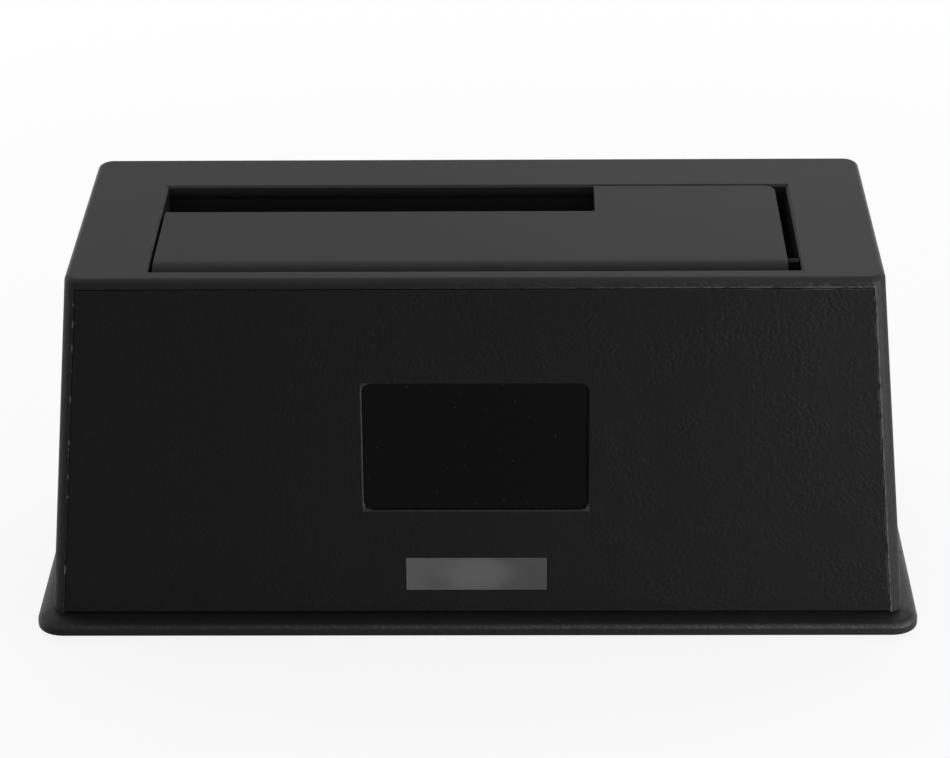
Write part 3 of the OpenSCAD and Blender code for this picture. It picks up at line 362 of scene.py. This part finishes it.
def badge_finish(slot):
    """Polished black: a faint ripple of the moulding, hairline scratches and a little dust."""
    finish = Finish(slot, Specular_IOR_Level=0.055)
    hair = finish.ease(finish.noise(0.5, 3.0, finish.squeezed(0.06, 1.0, 1.0)), 0.6, 0.72)
    dust = finish.ease(finish.cells(1.9), 0.07, 0.03)
    finish.feed(
        Base_Color=finish.mix(0.3 * dust, paint(4), paint(90)),
        Roughness=0.06 + 0.06 * hair + 0.3 * dust + 0.03 * finish.noise(6.0),
    )
    finish.relief(finish.noise(5.0, 1.0), 0.008)


def lens_finish(slot):
    """Smoked, milky window: paler at the left as painted light, with a soft painted highlight in its middle
    and painted shade at its dark ends below.

    Each patch fades with the sum of the squares of the distances along X and Z, over its half sizes.
    """
    patch_w, patch_h = 5.0, 2.6
    end_x, end_up, end_w, end_h = 6.5, -1.6, 2.6, 1.3
    finish = Finish(slot, Specular_IOR_Level=0.3)
    x = finish.axis("X")
    up = finish.axis("Z") - LENS_MIDDLE_Z
    patch = (x / patch_w) ** 2.0 + (up / patch_h) ** 2.0
    low_end = ((abs(x) - end_x) / end_w) ** 2.0 + ((up - end_up) / end_h) ** 2.0
    milk = finish.noise(3.5, 3.0)
    side = finish.ease(x, -12.0, 12.0)
    shade = finish.mix(side, paint(72), paint(50))
    lit = finish.mix(0.8 * finish.ease(patch, 2.2, 0.0), shade, paint(84))
    dim = finish.mix(0.3 * finish.ease(low_end, 1.6, 0.0), lit, paint(46, 46, 49))
    finish.feed(
        Base_Color=finish.mix(0.22 * milk, dim, paint(90)),
        Roughness=0.26 + 0.1 * finish.noise(0.4, 3.0),
    )
    finish.relief(finish.noise(2.5, 2.0), 0.02)


def rubber_finish(slot):
    """Matt rubber: chalky bloom and fine pits."""
    finish = Finish(slot, Specular_IOR_Level=0.2)
    bloom = finish.ease(finish.noise(2.2, 5.0), 0.4, 0.75)
    pits = finish.noise(0.18, 3.0)
    finish.feed(
        Base_Color=finish.mix(0.5 * bloom, paint(22), paint(48)),
        Roughness=0.78 + 0.14 * pits,
    )
    finish.relief(pits, 0.03)


def metal_finish(slot, colour, dull, rough, grain=(1.0, 1.0, 1.0), depth=0.004):
    """Bare metal: streaks drawn out along the way it was rolled, turned or drawn, and duller stains."""
    finish = Finish(slot, Metallic=1.0)
    streak = finish.noise(0.12, 4.0, finish.squeezed(*grain))
    stain = finish.ease(finish.noise(2.4, 4.0), 0.48, 0.72)
    finish.feed(
        Base_Color=finish.mix(0.7 * stain + 0.2 * streak, paint(*colour), paint(*dull)),
        Roughness=rough + 0.16 * streak + 0.12 * stain,
    )
    finish.relief(streak, depth)


def board_finish(slot):
    """Green solder mask over copper: straight tracks in blocks, gold pads, and the woven glass underneath."""
    finish = Finish(slot, Specular_IOR_Level=0.5)
    x = finish.axis("X")
    y = finish.axis("Y")
    block = finish.noise(7.0, 0.0)
    track_x = finish.ease(abs((x / 1.1).fraction() - 0.5), 0.3, 0.22) * finish.ease(block, 0.5, 0.52)
    track_y = finish.ease(abs((y / 1.1).fraction() - 0.5), 0.3, 0.22) * finish.ease(block, 0.48, 0.46)
    pad = finish.ease(finish.cells(3.4), 0.16, 0.13)
    weave = finish.noise(0.5, 1.0, finish.squeezed(1.0, 0.25, 1.0))
    mask = finish.mix(track_x + track_y, paint(14, 62, 38), paint(26, 92, 56))
    finish.feed(
        Base_Color=finish.mix(pad, mask, paint(214, 178, 96)),
        Metallic=pad * 0.9,
        Roughness=0.34 + 0.1 * weave - 0.06 * pad,
    )
    finish.relief(0.6 * (track_x + track_y) + 0.2 * weave + 0.5 * pad, 0.03)


def resin_finish(slot):
    """Moulded chip resin: a fine filler grain and faint clouds."""
    finish = Finish(slot, Specular_IOR_Level=0.35)
    filler = finish.noise(0.09, 3.0)
    cloud = finish.noise(2.5, 3.0)
    finish.feed(
        Base_Color=finish.mix(cloud, paint(24), paint(33)),
        Roughness=0.55 + 0.16 * filler,
    )
    finish.relief(filler, 0.006)


def can_finish(slot):
    """Capacitor can: drawn aluminium, with a black sector on the rear part of its top."""
    finish = Finish(slot, Metallic=1.0)
    drawn = finish.noise(0.15, 4.0, finish.squeezed(1.0, 1.0, 0.1))
    spin = finish.noise(0.6, 3.0)
    top = finish.ease(finish.axis("Z"), CAPACITOR_LID_Z, CAPACITOR_LID_Z + 0.1)
    sector = top * finish.ease(finish.axis("Y"), CAPACITOR_SECTOR_Y, CAPACITOR_SECTOR_Y + 0.1)
    bare = finish.mix(spin, paint(196, 197, 200), paint(168, 169, 173))
    finish.feed(
        Base_Color=finish.mix(sector, bare, paint(26)),
        Roughness=0.24 + 0.14 * drawn + 0.2 * sector,
        Metallic=1 - 0.9 * sector,
    )
    finish.relief(drawn, 0.004)


def rocker_finish(slot, level):
    """Satin rocker with two printed marks, a bar and a ring, on its two halves."""
    mark_x, bar_half, ring_r = 2.6, 1.3, 0.95
    line, fade = 0.26, 0.06
    finish = Finish(slot, Specular_IOR_Level=0.45)
    local = finish.shifted(*ROCKER_AT, ROCKER_TILT)
    across = finish.axis("X", local)
    outward = finish.axis("Y", local)
    up = finish.axis("Z", local)
    front = finish.ease(outward, 0.9, 1.2)
    bar_side = finish.ease(abs(across + mark_x), line, line - fade)
    bar = bar_side * finish.ease(abs(up), bar_half, bar_half - fade)
    from_middle = ((across - mark_x) ** 2.0 + up ** 2.0) ** 0.5
    ring = finish.ease(abs(from_middle - ring_r), line, line - fade)
    print_mask = front * bar.larger(ring)
    worn = finish.ease(finish.noise(0.5, 3.0), 0.3, 0.42)
    fine = finish.noise(0.3, 3.0)
    finish.feed(
        Base_Color=finish.mix(print_mask * worn, paint(level), paint(206)),
        Roughness=0.36 + 0.1 * fine,
    )
    finish.relief(fine + 0.6 * print_mask, 0.012)


# Deck levels above the wall levels are painted sheen from above.
housing_finish("housing_plastic", lit_deck_level=45, wall_level=29, shine=0.075, deck_bottom=DOCK_HEIGHT - 0.2)
housing_finish("door_plastic", lit_deck_level=41, wall_level=28, shine=0.075, deck_bottom=HINGE_Z, end=DOOR_END)
leather_moulding("panel_plastic", level=18, rough=0.44, shine=0.07, cell=0.55, depth=0.065, painted_highlights=panel_painted_highlights)
leather_moulding("base_plastic", level=29, rough=0.36, shine=0.08, cell=0.6, depth=0.015, painted_highlights=flange_painted_highlights)
satin_moulding("guide_plastic", level=43, rough=0.55, shine=0.12)
satin_moulding("socket_plastic", level=21, rough=0.4, speck=0.25)
satin_moulding("jack_plastic", level=21, rough=0.42, speck=0.25)
satin_moulding("switch_plastic", level=21, rough=0.42, speck=0.25)
badge_finish("badge_gloss")
lens_finish("lens_plastic")
rubber_finish("foot_rubber")
metal_finish("screw_steel", (176, 178, 180), (112, 113, 116), 0.3, (1.0, 1.0, 0.4))
metal_finish("pin_steel", (190, 190, 192), (136, 136, 139), 0.2, (0.08, 1.0, 1.0))
metal_finish("spring_steel", (172, 173, 177), (104, 104, 108), 0.24, (0.3, 1.0, 1.0))
metal_finish("shell_steel", (186, 187, 190), (140, 141, 145), 0.26, (1.0, 0.06, 1.0))
metal_finish("contact_gold", (222, 186, 104), (176, 138, 66), 0.22, (1.0, 0.2, 0.2), 0.002)
metal_finish("crystal_can", (198, 199, 202), (150, 151, 155), 0.22, (0.1, 1.0, 1.0))
satin_moulding("choke_ferrite", level=52, rough=0.7, shine=0.25, speck=0.2, depth=0.03)
satin_moulding("led_resin", level=214, rough=0.2, shine=0.5, speck=0.6, depth=0.01)
board_finish("board_green")
resin_finish("chip_resin")
can_finish("capacitor_can")
rocker_finish("rocker_plastic", level=24)


# Shapes

# A quarter turn in steps, for rounded edges
QUARTER = np.linspace(0.0, np.pi / 2, 6)


def grid_faces(rows, columns, close_columns=False):
    """Quads between neighbours of a grid of points, joining its last column to its first where it closes."""
    index = np.arange(rows * columns).reshape(rows, columns)
    if close_columns:
        index = np.concatenate([index, index[:, :1]], axis=1)
    quads = np.stack([index[:-1, :-1], index[1:, :-1], index[1:, 1:], index[:-1, 1:]], axis=-1)
    return quads.reshape(-1, 4)


def stack(rows, steps=12):
    """Rounded rectangles one above another, each row of sizes giving width, depth, corner radius and level.

    A point is its corner's centre plus the radius turned through a quarter, four times round. A row of no
    width is a pole that closes an end.
    """
    width, depth, radius, level = np.array(rows, float).T[:, :, None]
    corner = np.repeat(np.arange(4), steps)
    angle = (corner + np.tile(np.linspace(0.0, 1.0, steps), 4)) * np.pi / 2
    side_x = np.where((corner == 0) | (corner == 3), 1.0, -1.0)
    side_y = np.where(corner < 2, 1.0, -1.0)
    x = side_x * (width / 2 - radius) + radius * np.cos(angle)
    y = side_y * (depth / 2 - radius) + radius * np.sin(angle)
    return np.stack([x, y, level + 0 * x], axis=-1)


def rows_of(*columns):
    """Rows of sizes for a stack, from columns of them; a single number is the same in every row."""
    return np.stack(np.broadcast_arrays(*columns), axis=1)


def tube(path, out, radius, sides):
    """A round section carried along a path: a point is the path plus the radius turned round its tangent."""
    along = np.gradient(path, axis=0)
    along /= np.linalg.norm(along, axis=1, keepdims=True)
    first = out - np.sum(out * along, axis=1, keepdims=True) * along
    first /= np.linalg.norm(first, axis=1, keepdims=True)
    second = np.cross(along, first)
    angle = np.linspace(0.0, 2 * np.pi, sides, endpoint=False)[:, None]
    ring = np.cos(angle) * first[:, None, :] + np.sin(angle) * second[:, None, :]
    body = path[:, None, :] + radius * ring
    start = np.broadcast_to(path[:1, None, :], (1, sides, 3))
    end = np.broadcast_to(path[-1:, None, :], (1, sides, 3))
    return np.concatenate([start, body, end], axis=0)


def repeated(grid, places, turns):
    """Copies of a closed grid, each turned about Z and moved to a place; returns their points and quads."""
    rows, columns, _ = grid.shape
    cosine = np.cos(turns)[:, None, None]
    sine = np.sin(turns)[:, None, None]
    x = cosine * grid[..., 0] - sine * grid[..., 1]
    y = sine * grid[..., 0] + cosine * grid[..., 1]
    z = grid[..., 2] + 0 * x
    points = np.stack([x, y, z], axis=-1) + np.asarray(places, float)[:, None, None, :]
    faces = grid_faces(rows, columns, close_columns=True)
    offset = np.arange(len(turns))[:, None, None] * rows * columns
    return points.reshape(-1, 3), (faces + offset).reshape(-1, 4)


def add_piece(name, points, faces, slot, body="housing", stands_for=()):
    """A piece from points in millimetres: poles and seams merged, faces turned outwards, edges kept crisp.

    A piece with no body is not tied to a body.
    """
    mesh = bpy.data.meshes.new(name)
    mesh.from_pydata((points.reshape(-1, 3) * MM).tolist(), [], faces.tolist())
    shape = bmesh.new()
    shape.from_mesh(mesh)
    bmesh.ops.remove_doubles(shape, verts=shape.verts, dist=1e-7)
    bmesh.ops.dissolve_degenerate(shape, edges=shape.edges, dist=1e-8)
    bmesh.ops.recalc_face_normals(shape, faces=shape.faces)
    shape.to_mesh(mesh)
    shape.free()
    mesh.shade_smooth()
    mesh.set_sharp_from_angle(angle=math.radians(40))
    made = bpy.data.objects.new(name, mesh)
    bpy.context.scene.collection.objects.link(made)
    mesh.materials.append(bpy.data.materials[slot])
    if body:
        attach(made, body)
    if stands_for:
        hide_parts(*stands_for)
    return made


def badge_rim(points):
    """The corners of the badge's recess in the panel's face, among points."""
    y = points[:, 1] + DECK_DEPTH / 2
    z = points[:, 2] - DOCK_HEIGHT
    deep = y * math.cos(DRAFT) - z * math.sin(DRAFT)
    down = -y * math.sin(DRAFT) - z * math.cos(DRAFT)
    spare, flush = 0.1, 0.02
    across = np.abs(points[:, 0]) < BADGE_WIDTH / 2 + spare
    along = np.abs(down - BADGE_DOWN) < BADGE_HEIGHT / 2 + spare
    return across & along & (np.abs(deep) < flush)


def bevel(made, name, width, segments, method):
    """A Bevel modifier that rounds edges, by a group of points or by the angle between their faces."""
    easing = made.modifiers.new(name, "BEVEL")
    easing.width = width * MM
    easing.segments = segments
    easing.limit_method = method
    easing.angle_limit = math.radians(35)
    return easing


def slot_rim(points):
    """The corners of the chamfer behind the small slot, among points."""
    reach = 0.4
    rear = np.abs(points[:, 1] - BAY_REAR) < reach
    inside = np.abs(points[:, 0]) < BAY_HALF_WIDTH + reach
    return rear & inside & (points[:, 2] > DOCK_HEIGHT - reach)


def soften(node, edge, slot, body="housing", rim=None, rim_edge=0.0):
    """A copy of a solid with its edges eased: triangles are merged, flat ones joined, sharp edges rounded.

    A rim, chosen by a function of the points, is rounded by a width of its own.
    """
    shape = bmesh.new()
    shape.from_mesh(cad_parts[node].data)
    bmesh.ops.remove_doubles(shape, verts=shape.verts, dist=2e-6)
    bmesh.ops.dissolve_degenerate(shape, edges=shape.edges, dist=4e-6)
    bmesh.ops.dissolve_limit(shape, angle_limit=math.radians(0.5), verts=shape.verts, edges=shape.edges)
    mesh = bpy.data.meshes.new(node + "_eased")
    shape.to_mesh(mesh)
    shape.free()
    for spare in ("custom_normal", "sharp_edge", "sharp_face"):
        if spare in mesh.attributes:
            mesh.attributes.remove(mesh.attributes[spare])
    mesh.shade_smooth()
    made = bpy.data.objects.new(node + "_eased", mesh)
    bpy.context.scene.collection.objects.link(made)
    mesh.materials.clear()
    mesh.materials.append(bpy.data.materials[slot])
    if rim:
        points = np.empty(3 * len(mesh.vertices))
        mesh.vertices.foreach_get("co", points)
        chosen = np.flatnonzero(rim(points.reshape(-1, 3) / MM))
        made.vertex_groups.new(name="rim").add(chosen.tolist(), 1.0, "REPLACE")
        rounding = bevel(made, "rounded_rim", rim_edge, 3, "VGROUP")
        rounding.vertex_group = "rim"
        rounding.use_clamp_overlap = False
    bevel(made, "eased_edges", edge, 2, "ANGLE")
    flat = made.modifiers.new("flat_faces", "WEIGHTED_NORMAL")
    flat.keep_sharp = True
    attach(made, body)
    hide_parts(node)


def badge():
    """The badge plate: rounded rectangles from its back to its front, laid on the sloping face.

    A quarter round makes its edge. The front rises by the crown, less the crown times the square of the
    share of the way out from the middle.
    """
    width, height, corner = 35.94, 21.74, 1.47
    thick, edge, crown = 0.6, 0.12, 0.06
    inset = edge * (1 - np.cos(QUARTER))
    rim_level = thick - edge * (1 - np.sin(QUARTER))
    rim = rows_of(width - 2 * inset, height - 2 * inset, corner - inset, rim_level)
    share = np.linspace(1.0, 0.0, 9)[1:]
    front = rows_of(*(rim[-1, :3, None] * share), thick + crown * (1 - share ** 2))
    back = [(0, 0, 0, 0), (width, height, corner, 0)]
    grid = stack(np.concatenate([back, rim, front]), 8)
    down = BADGE_DOWN - grid[..., 1]
    deep = BADGE_RECESS - grid[..., 2]
    y = -DECK_DEPTH / 2 + deep * math.cos(DRAFT) - down * math.sin(DRAFT)
    z = DOCK_HEIGHT - deep * math.sin(DRAFT) - down * math.cos(DRAFT)
    points = np.stack([grid[..., 0], y, z], axis=-1)
    faces = grid_faces(*grid.shape[:2], close_columns=True)
    add_piece("badge", points, faces, "badge_gloss", stands_for=["badge_plate"])


def spring():
    """The torsion spring: a leg up the guide's wall, a helix round the pin, and a tang bent into the knuckle.

    On the helix the angle falls evenly as x grows by one pitch a turn. The leg is a parabola that meets the
    helix on a tangent, and the tang is a quarter circle with a straight end.
    """
    wire, mean, pitch, turns, start = 0.7, 1.55, 1.15, 5.25, 5.65
    leg_steps, bend_steps = 24, 9
    ease = np.linspace(0.0, 1.0, leg_steps)[:, None]
    foot = np.array([[start, -3.7, -9.0]])
    knee = np.array([[start, -mean, -2.6]])
    hip = np.array([[start, -mean, 0.0]])
    leg = (1 - ease) ** 2 * foot + 2 * ease * (1 - ease) * knee + ease ** 2 * hip
    share = np.linspace(0.0, 1.0, int(turns * 32))[1:]
    angle = np.pi - 2 * np.pi * turns * share
    coil = np.stack([start + pitch * turns * share, mean * np.cos(angle), mean * np.sin(angle)], axis=1)
    last = start + pitch * turns
    bend = np.linspace(0.0, np.pi / 2, bend_steps + 1)[1:]
    tang = np.stack([last + wire * (1 - np.cos(bend)), wire * np.sin(bend), mean + 0 * bend], axis=1)
    end = np.array([[last + pitch + 1.5, wire, mean], [last + pitch + 3.0, wire, mean]])
    path = np.concatenate([leg, coil, tang, end])
    radial = np.stack([0 * angle, np.cos(angle), np.sin(angle)], axis=1)
    leg_out = np.tile([[0.0, -1.0, 0.0]], (leg_steps, 1))
    tang_out = np.tile(radial[-1:], (bend_steps + len(end), 1))
    out = np.concatenate([leg_out, radial, tang_out])
    grid = tube(path, out, wire / 2, 12) + np.array([0.0, HINGE_Y, HINGE_Z])
    faces = grid_faces(*grid.shape[:2], close_columns=True)
    made = add_piece("torsion_spring", grid, faces, "spring_steel", None, ["door_spring"])
    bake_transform(made)


def feet():
    """Four round feet: a profile of widths and levels turned about Z.

    It runs out from the dished middle, over a ring groove, and up a quarter round to the side and the top.
    """
    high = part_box("rubber_feet")[1]
    reach, edge = 5.0, 0.5
    x = high.x / MM - reach
    y = high.y / MM - reach
    top = high.z / MM
    dish = [(0.0, 0.25), (3.0, 0.22), (5.0, 0.08), (5.6, 0.0)]
    groove = [(6.6, 0.0), (6.8, 0.12), (7.2, 0.12), (7.4, 0.0)]
    rounded = rows_of(2 * (reach - edge + edge * np.sin(QUARTER)), edge - edge * np.cos(QUARTER))
    width, level = np.concatenate([dish, groove, rounded, [(2 * reach, top), (0.0, top)]]).T
    places = [(sx * x, sy * y, 0.0) for sx in (-1, 1) for sy in (-1, 1)]
    points, faces = repeated(stack(rows_of(width, width, width / 2, level), 10), places, np.zeros(4))
    add_piece("feet", points, faces, "foot_rubber", stands_for=["rubber_feet"])


def gull_lead(reach, height, width, thick):
    """One bent lead along X: a flat section carried out of the body, down, and along the board."""
    out = np.array([-0.2, 0.2 * reach, 0.3 * reach, 0.5 * reach, 0.6 * reach, reach])
    up = np.array([height, height, 0.92 * height, 0.12 * height, thick / 2, thick / 2])
    line = np.stack([out, up], axis=1)
    along = np.gradient(line, axis=0)
    along /= np.linalg.norm(along, axis=1, keepdims=True)
    across = np.stack([-along[:, 1], along[:, 0]], axis=1) * thick / 2
    upper = line + across
    lower = line - across
    half = width / 2 + 0 * upper[:, 0]
    ring = [np.stack([p[:, 0], side * half, p[:, 1]], axis=1)
            for p, side in ((upper, -1), (upper, 1), (lower, 1), (lower, -1))]
    body = np.stack(ring, axis=1)
    middle = np.stack([line[:, 0], 0 * half, line[:, 1]], axis=1)[:, None, :]
    caps = np.broadcast_to(middle, body.shape)
    return np.concatenate([caps[:1], body, caps[-1:]], axis=0)


def chip(name, node, lead_rows, reach):
    """A chip: a body that tapers up and down from its parting line, with rows of bent leads on its sides.

    A row of leads gives the side, in quarter turns from +X, the count, the pitch and the width.
    """
    low, high = (np.array(corner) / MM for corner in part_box(node))
    wide, deep, thick = high - low
    base = low[2]
    middle = np.array([(low[0] + high[0]) / 2, (low[1] + high[1]) / 2, 0.0])
    taper = 0.12 * thick
    lift = base + 0.08
    top = base + thick
    rows = [
        (0, 0, 0, lift),
        (wide - 2 * taper, deep - 2 * taper, 0.1, lift),
        (wide, deep, 0.15, base + thick / 2),
        (wide - 1.6 * taper, deep - 1.6 * taper, 0.12, top - 0.06),
        (wide - 2 * taper, deep - 2 * taper, 0.1, top),
        (0, 0, 0, top),
    ]
    grid = stack(rows, 5) + middle
    body_faces = grid_faces(*grid.shape[:2], close_columns=True)
    add_piece(name, grid, body_faces, "chip_resin", stands_for=[node])
    points = []
    faces = []
    for side, count, pitch, width in lead_rows:
        turn = np.full(count, side * np.pi / 2)
        out = deep / 2 if side % 2 else wide / 2
        slide = (np.arange(count) - (count - 1) / 2) * pitch
        x = out * np.cos(turn) - slide * np.sin(turn)
        y = out * np.sin(turn) + slide * np.cos(turn)
        places = np.stack([x, y, base + 0 * x], axis=1) + middle
        row_points, row_faces = repeated(gull_lead(reach, 0.48 * thick, width, 0.14), places, turn)
        faces.append(row_faces + sum(len(p) for p in points))
        points.append(row_points)
    add_piece(name + "_leads", np.concatenate(points), np.concatenate(faces), "shell_steel")


def capacitor_cans():
    """Three cans on square feet: a profile of radii and levels turned about Z.

    It has a crimp above the foot, a top edge rolled over a quarter round, and a lid set in it.
    """
    low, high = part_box("capacitors")
    size = (high.y - low.y) / MM
    height = (high.z - low.z) / MM
    y = (low.y + high.y) / 2 / MM
    x = low.x / MM + size / 2 + CAPACITOR_PITCH * np.arange(3)
    half = size / 2
    roll, foot_h = 0.4, 0.8
    below = [(0.0, foot_h), (half - 0.1, foot_h), (half - 0.05, 1.2), (half - 0.05, 1.5)]
    crimp = [(half - 0.35, 1.8), (half - 0.35, 2.0), (half - 0.05, 2.3)]
    rolled = rows_of(half - roll + roll * np.cos(QUARTER), height - roll + roll * np.sin(QUARTER))
    lid = [(half - 0.7, height), (half - 0.8, height - 0.12), (0.0, height - 0.12)]
    radius, level = np.concatenate([below, crimp, rolled, lid]).T
    can = stack(rows_of(2 * radius, 2 * radius, radius, level), 12)
    foot_size = np.array([0.0, size - 0.2, size, size, size - 0.2, 0.0])
    foot_corner = np.array([0.0, 0.6, 0.7, 0.7, 0.6, 0.0])
    foot_level = np.array([0.0, 0.0, 0.1, foot_h - 0.1, foot_h, foot_h])
    foot = stack(rows_of(foot_size, foot_size, foot_corner, foot_level), 5)
    places = np.stack([x, y + 0 * x, BOARD_TOP + 0 * x], axis=1)
    points, faces = repeated(can, places, np.zeros(3))
    add_piece("capacitor_cans", points, faces, "capacitor_can", stands_for=["capacitors"])
    points, faces = repeated(foot, places, np.zeros(3))
    add_piece("capacitor_feet", points, faces, "socket_plastic")


def crystal_case():
    """The crystal: rectangles with half-round ends, from a welded flange up to a quarter-round top edge."""
    low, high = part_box("crystal")
    wide = (high.x - low.x) / MM
    deep = (high.y - low.y) / MM
    height = (high.z - low.z) / MM
    flange, edge = 0.35, 0.5
    body_wide = wide - 2 * flange
    body_deep = deep - 2 * flange
    foot = [
        (0, 0, 0, 0),
        (wide, deep, deep / 2, 0.0),
        (wide, deep, deep / 2, flange),
        (body_wide, body_deep, body_deep / 2, flange + 0.1),
    ]
    inset = 2 * edge * (1 - np.cos(QUARTER))
    level = height - edge + edge * np.sin(QUARTER)
    top = rows_of(body_wide - inset, body_deep - inset, (body_deep - inset) / 2, level)
    grid = stack(np.concatenate([foot, top, [(0, 0, 0, height)]]), 10)
    grid = grid + np.array([(low.x + high.x) / 2 / MM, (low.y + high.y) / 2 / MM, low.z / MM])
    faces = grid_faces(*grid.shape[:2], close_columns=True)
    add_piece("crystal_case", grid, faces, "crystal_can", stands_for=["crystal"])


soften("top_housing", 0.03, "housing_plastic", rim=slot_rim, rim_edge=0.14)
soften("front_panel", 0.03, "panel_plastic", rim=badge_rim, rim_edge=0.3)
soften("base_plate", 0.18, "base_plastic")
soften("drive_door", 0.22, "door_plastic", "drive_door")
soften("drive_guide", 0.15, "guide_plastic")
soften("status_lens", 0.15, "lens_plastic")
soften("hinge_pin", 0.2, "pin_steel")
soften("sata_socket", 0.1, "socket_plastic")
soften("sata_contacts", 0.06, "contact_gold")
soften("usb_shell", 0.08, "shell_steel")
soften("usb_insert", 0.12, "socket_plastic")
soften("usb_contacts", 0.05, "contact_gold")
soften("jack_body", 0.2, "jack_plastic")
soften("jack_pin", 0.3, "pin_steel")
soften("switch_body", 0.2, "switch_plastic")
soften("power_rocker", 0.14, "rocker_plastic", "power_rocker")
soften("main_board", 0.06, "board_green")
soften("power_choke", 0.25, "choke_ferrite")
soften("status_led", 0.12, "led_resin")
soften("base_screws", 0.1, "screw_steel")
soften("guide_screws", 0.1, "screw_steel")
soften("board_screws", 0.1, "screw_steel")
badge()
spring()
feet()
chip("bridge", "bridge_chip", [(side, 16, 0.5, 0.22) for side in range(4)], reach=1.0)
chip("memory", "memory_chip", [(side, 4, 1.0, 0.4) for side in (1, 3)], reach=0.9)
chip("regulator_body", "regulator", [(3, 3, 2.0, 0.7), (1, 1, 0.0, 3.0)], reach=1.1)
capacitor_cans()
crystal_case()


# Stage, light and camera

def floor_sheet(half, steps):
    """A flat square sheet: x and y run from -half to half on an even grid, and z is the desk's level."""
    line = np.linspace(-half, half, steps)
    x, y = np.meshgrid(line, line, indexing="ij")
    return np.stack([x, y, 0 * x], axis=-1)


def studio_floor():
    """A white sheet that keeps part of the shadow, fades to pure white, and is clear seen from underneath."""
    half_m, steps = 4.0, 9
    shadow, near_m, far_m = 0.12, 0.1, 0.35
    mesh = bpy.data.meshes.new("studio_floor")
    points = floor_sheet(half_m, steps).reshape(-1, 3)
    mesh.from_pydata(points.tolist(), [], grid_faces(steps, steps).tolist())
    floor = bpy.data.objects.new("studio_floor", mesh)
    bpy.context.scene.collection.objects.link(floor)
    finish = Finish("studio_floor", Roughness=0.9, Specular_IOR_Level=0.1)
    finish.feed(Base_Color=finish.mix(finish.seen_white(), paint(150), paint(245)))
    from_dock = finish.node("ShaderNodeVectorMath", {"operation": "LENGTH"}, {0: finish.place}, 1)
    share = (1 - shadow) + shadow * finish.ease(from_dock, near_m, far_m)
    white = finish.node("ShaderNodeEmission", {}, {"Strength": 1.0})
    clear = finish.node("ShaderNodeBsdfTransparent", {}, {})
    below = finish.node("ShaderNodeNewGeometry", {}, {}, "Backfacing")
    sockets = {0: share * finish.seen_white(), 1: finish.surface, 2: white}
    pale = finish.node("ShaderNodeMixShader", {}, sockets)
    finish.show(finish.node("ShaderNodeMixShader", {}, {0: below, 1: pale, 2: clear}))
    mesh.materials.append(finish.material)


def area_lamp(name, place, aim, size, power):
    """A soft lamp at a place, turned to its aim, with its two sizes in metres and its power in watts."""
    lamp = bpy.data.lights.new(name, "AREA")
    lamp.shape = "RECTANGLE"
    lamp.size = size[0]
    lamp.size_y = size[1]
    lamp.energy = power
    made = bpy.data.objects.new(name, lamp)
    made.location = place
    made.rotation_euler = (Vector(aim) - Vector(place)).to_track_quat("-Z", "Y").to_euler()
    bpy.context.scene.collection.objects.link(made)


def studio_light():
    """Soft lamps above, behind and at the left, and low strips at the right, the back and the left.

    The surround looks white and lights dimly. The strips stay below the deck's level, so they light the
    walls and the flange, and not the deck. Places are in metres.
    """
    world = bpy.data.worlds.new("studio")
    bpy.context.scene.world = world
    world.use_nodes = True
    sky = Graph(world.node_tree)
    dim = 0.25
    strength = dim + (1 - dim) * sky.seen_white()
    surround = sky.node("ShaderNodeBackground", {}, {"Color": (1.0, 1.0, 1.0, 1.0), "Strength": strength})
    sky.node("ShaderNodeOutputWorld", {}, {"Surface": surround})
    middle = (0.0, 0.0, 0.03)
    area_lamp("top_lamp", (0.05, 0.5, 0.95), middle, (1.8, 0.9), 6.0)
    area_lamp("back_box", (0.16, 0.55, 0.34), middle, (0.3, 0.25), 0.24)
    area_lamp("right_strip", (0.22, -0.16, 0.02), middle, (0.24, 0.03), 0.85)
    area_lamp("left_lamp", (-0.6, 0.3, 0.35), middle, (0.5, 0.5), 1.2)
    area_lamp("rear_strip", (0.0, 0.5, 0.03), middle, (0.8, 0.05), 0.7)
    area_lamp("left_strip", (-0.5, 0.05, 0.03), middle, (0.5, 0.05), 0.6)


def photo_camera():
    """The camera as fitted to the photograph's edges: its place in metres and its turns in radians."""
    place = (0.0078052, -0.4750587, 0.2655937)
    yaw = -0.0172864
    pitch = 0.4580899
    roll = -0.0100279
    focal_px = 3163.487
    width_px = 950
    sensor_mm = 36.0
    ahead = Vector((math.sin(yaw) * math.cos(pitch), math.cos(yaw) * math.cos(pitch), -math.sin(pitch)))
    level = Vector((math.cos(yaw), -math.sin(yaw), 0.0))
    above = level.cross(ahead)
    right = level * math.cos(roll) + above * math.sin(roll)
    up = above * math.cos(roll) - level * math.sin(roll)
    lens = bpy.data.cameras.new("photo_camera")
    lens.sensor_width = sensor_mm
    lens.lens = sensor_mm * focal_px / width_px
    lens.clip_start = 0.01
    lens.clip_end = 20.0
    camera = bpy.data.objects.new("photo_camera", lens)
    turn = Matrix((right, up, -ahead)).transposed().to_4x4()
    camera.matrix_world = Matrix.Translation(place) @ turn
    bpy.context.scene.collection.objects.link(camera)
    bpy.context.scene.camera = camera


studio_floor()
studio_light()
photo_camera()
bpy.context.scene.view_settings.view_transform = "Standard"
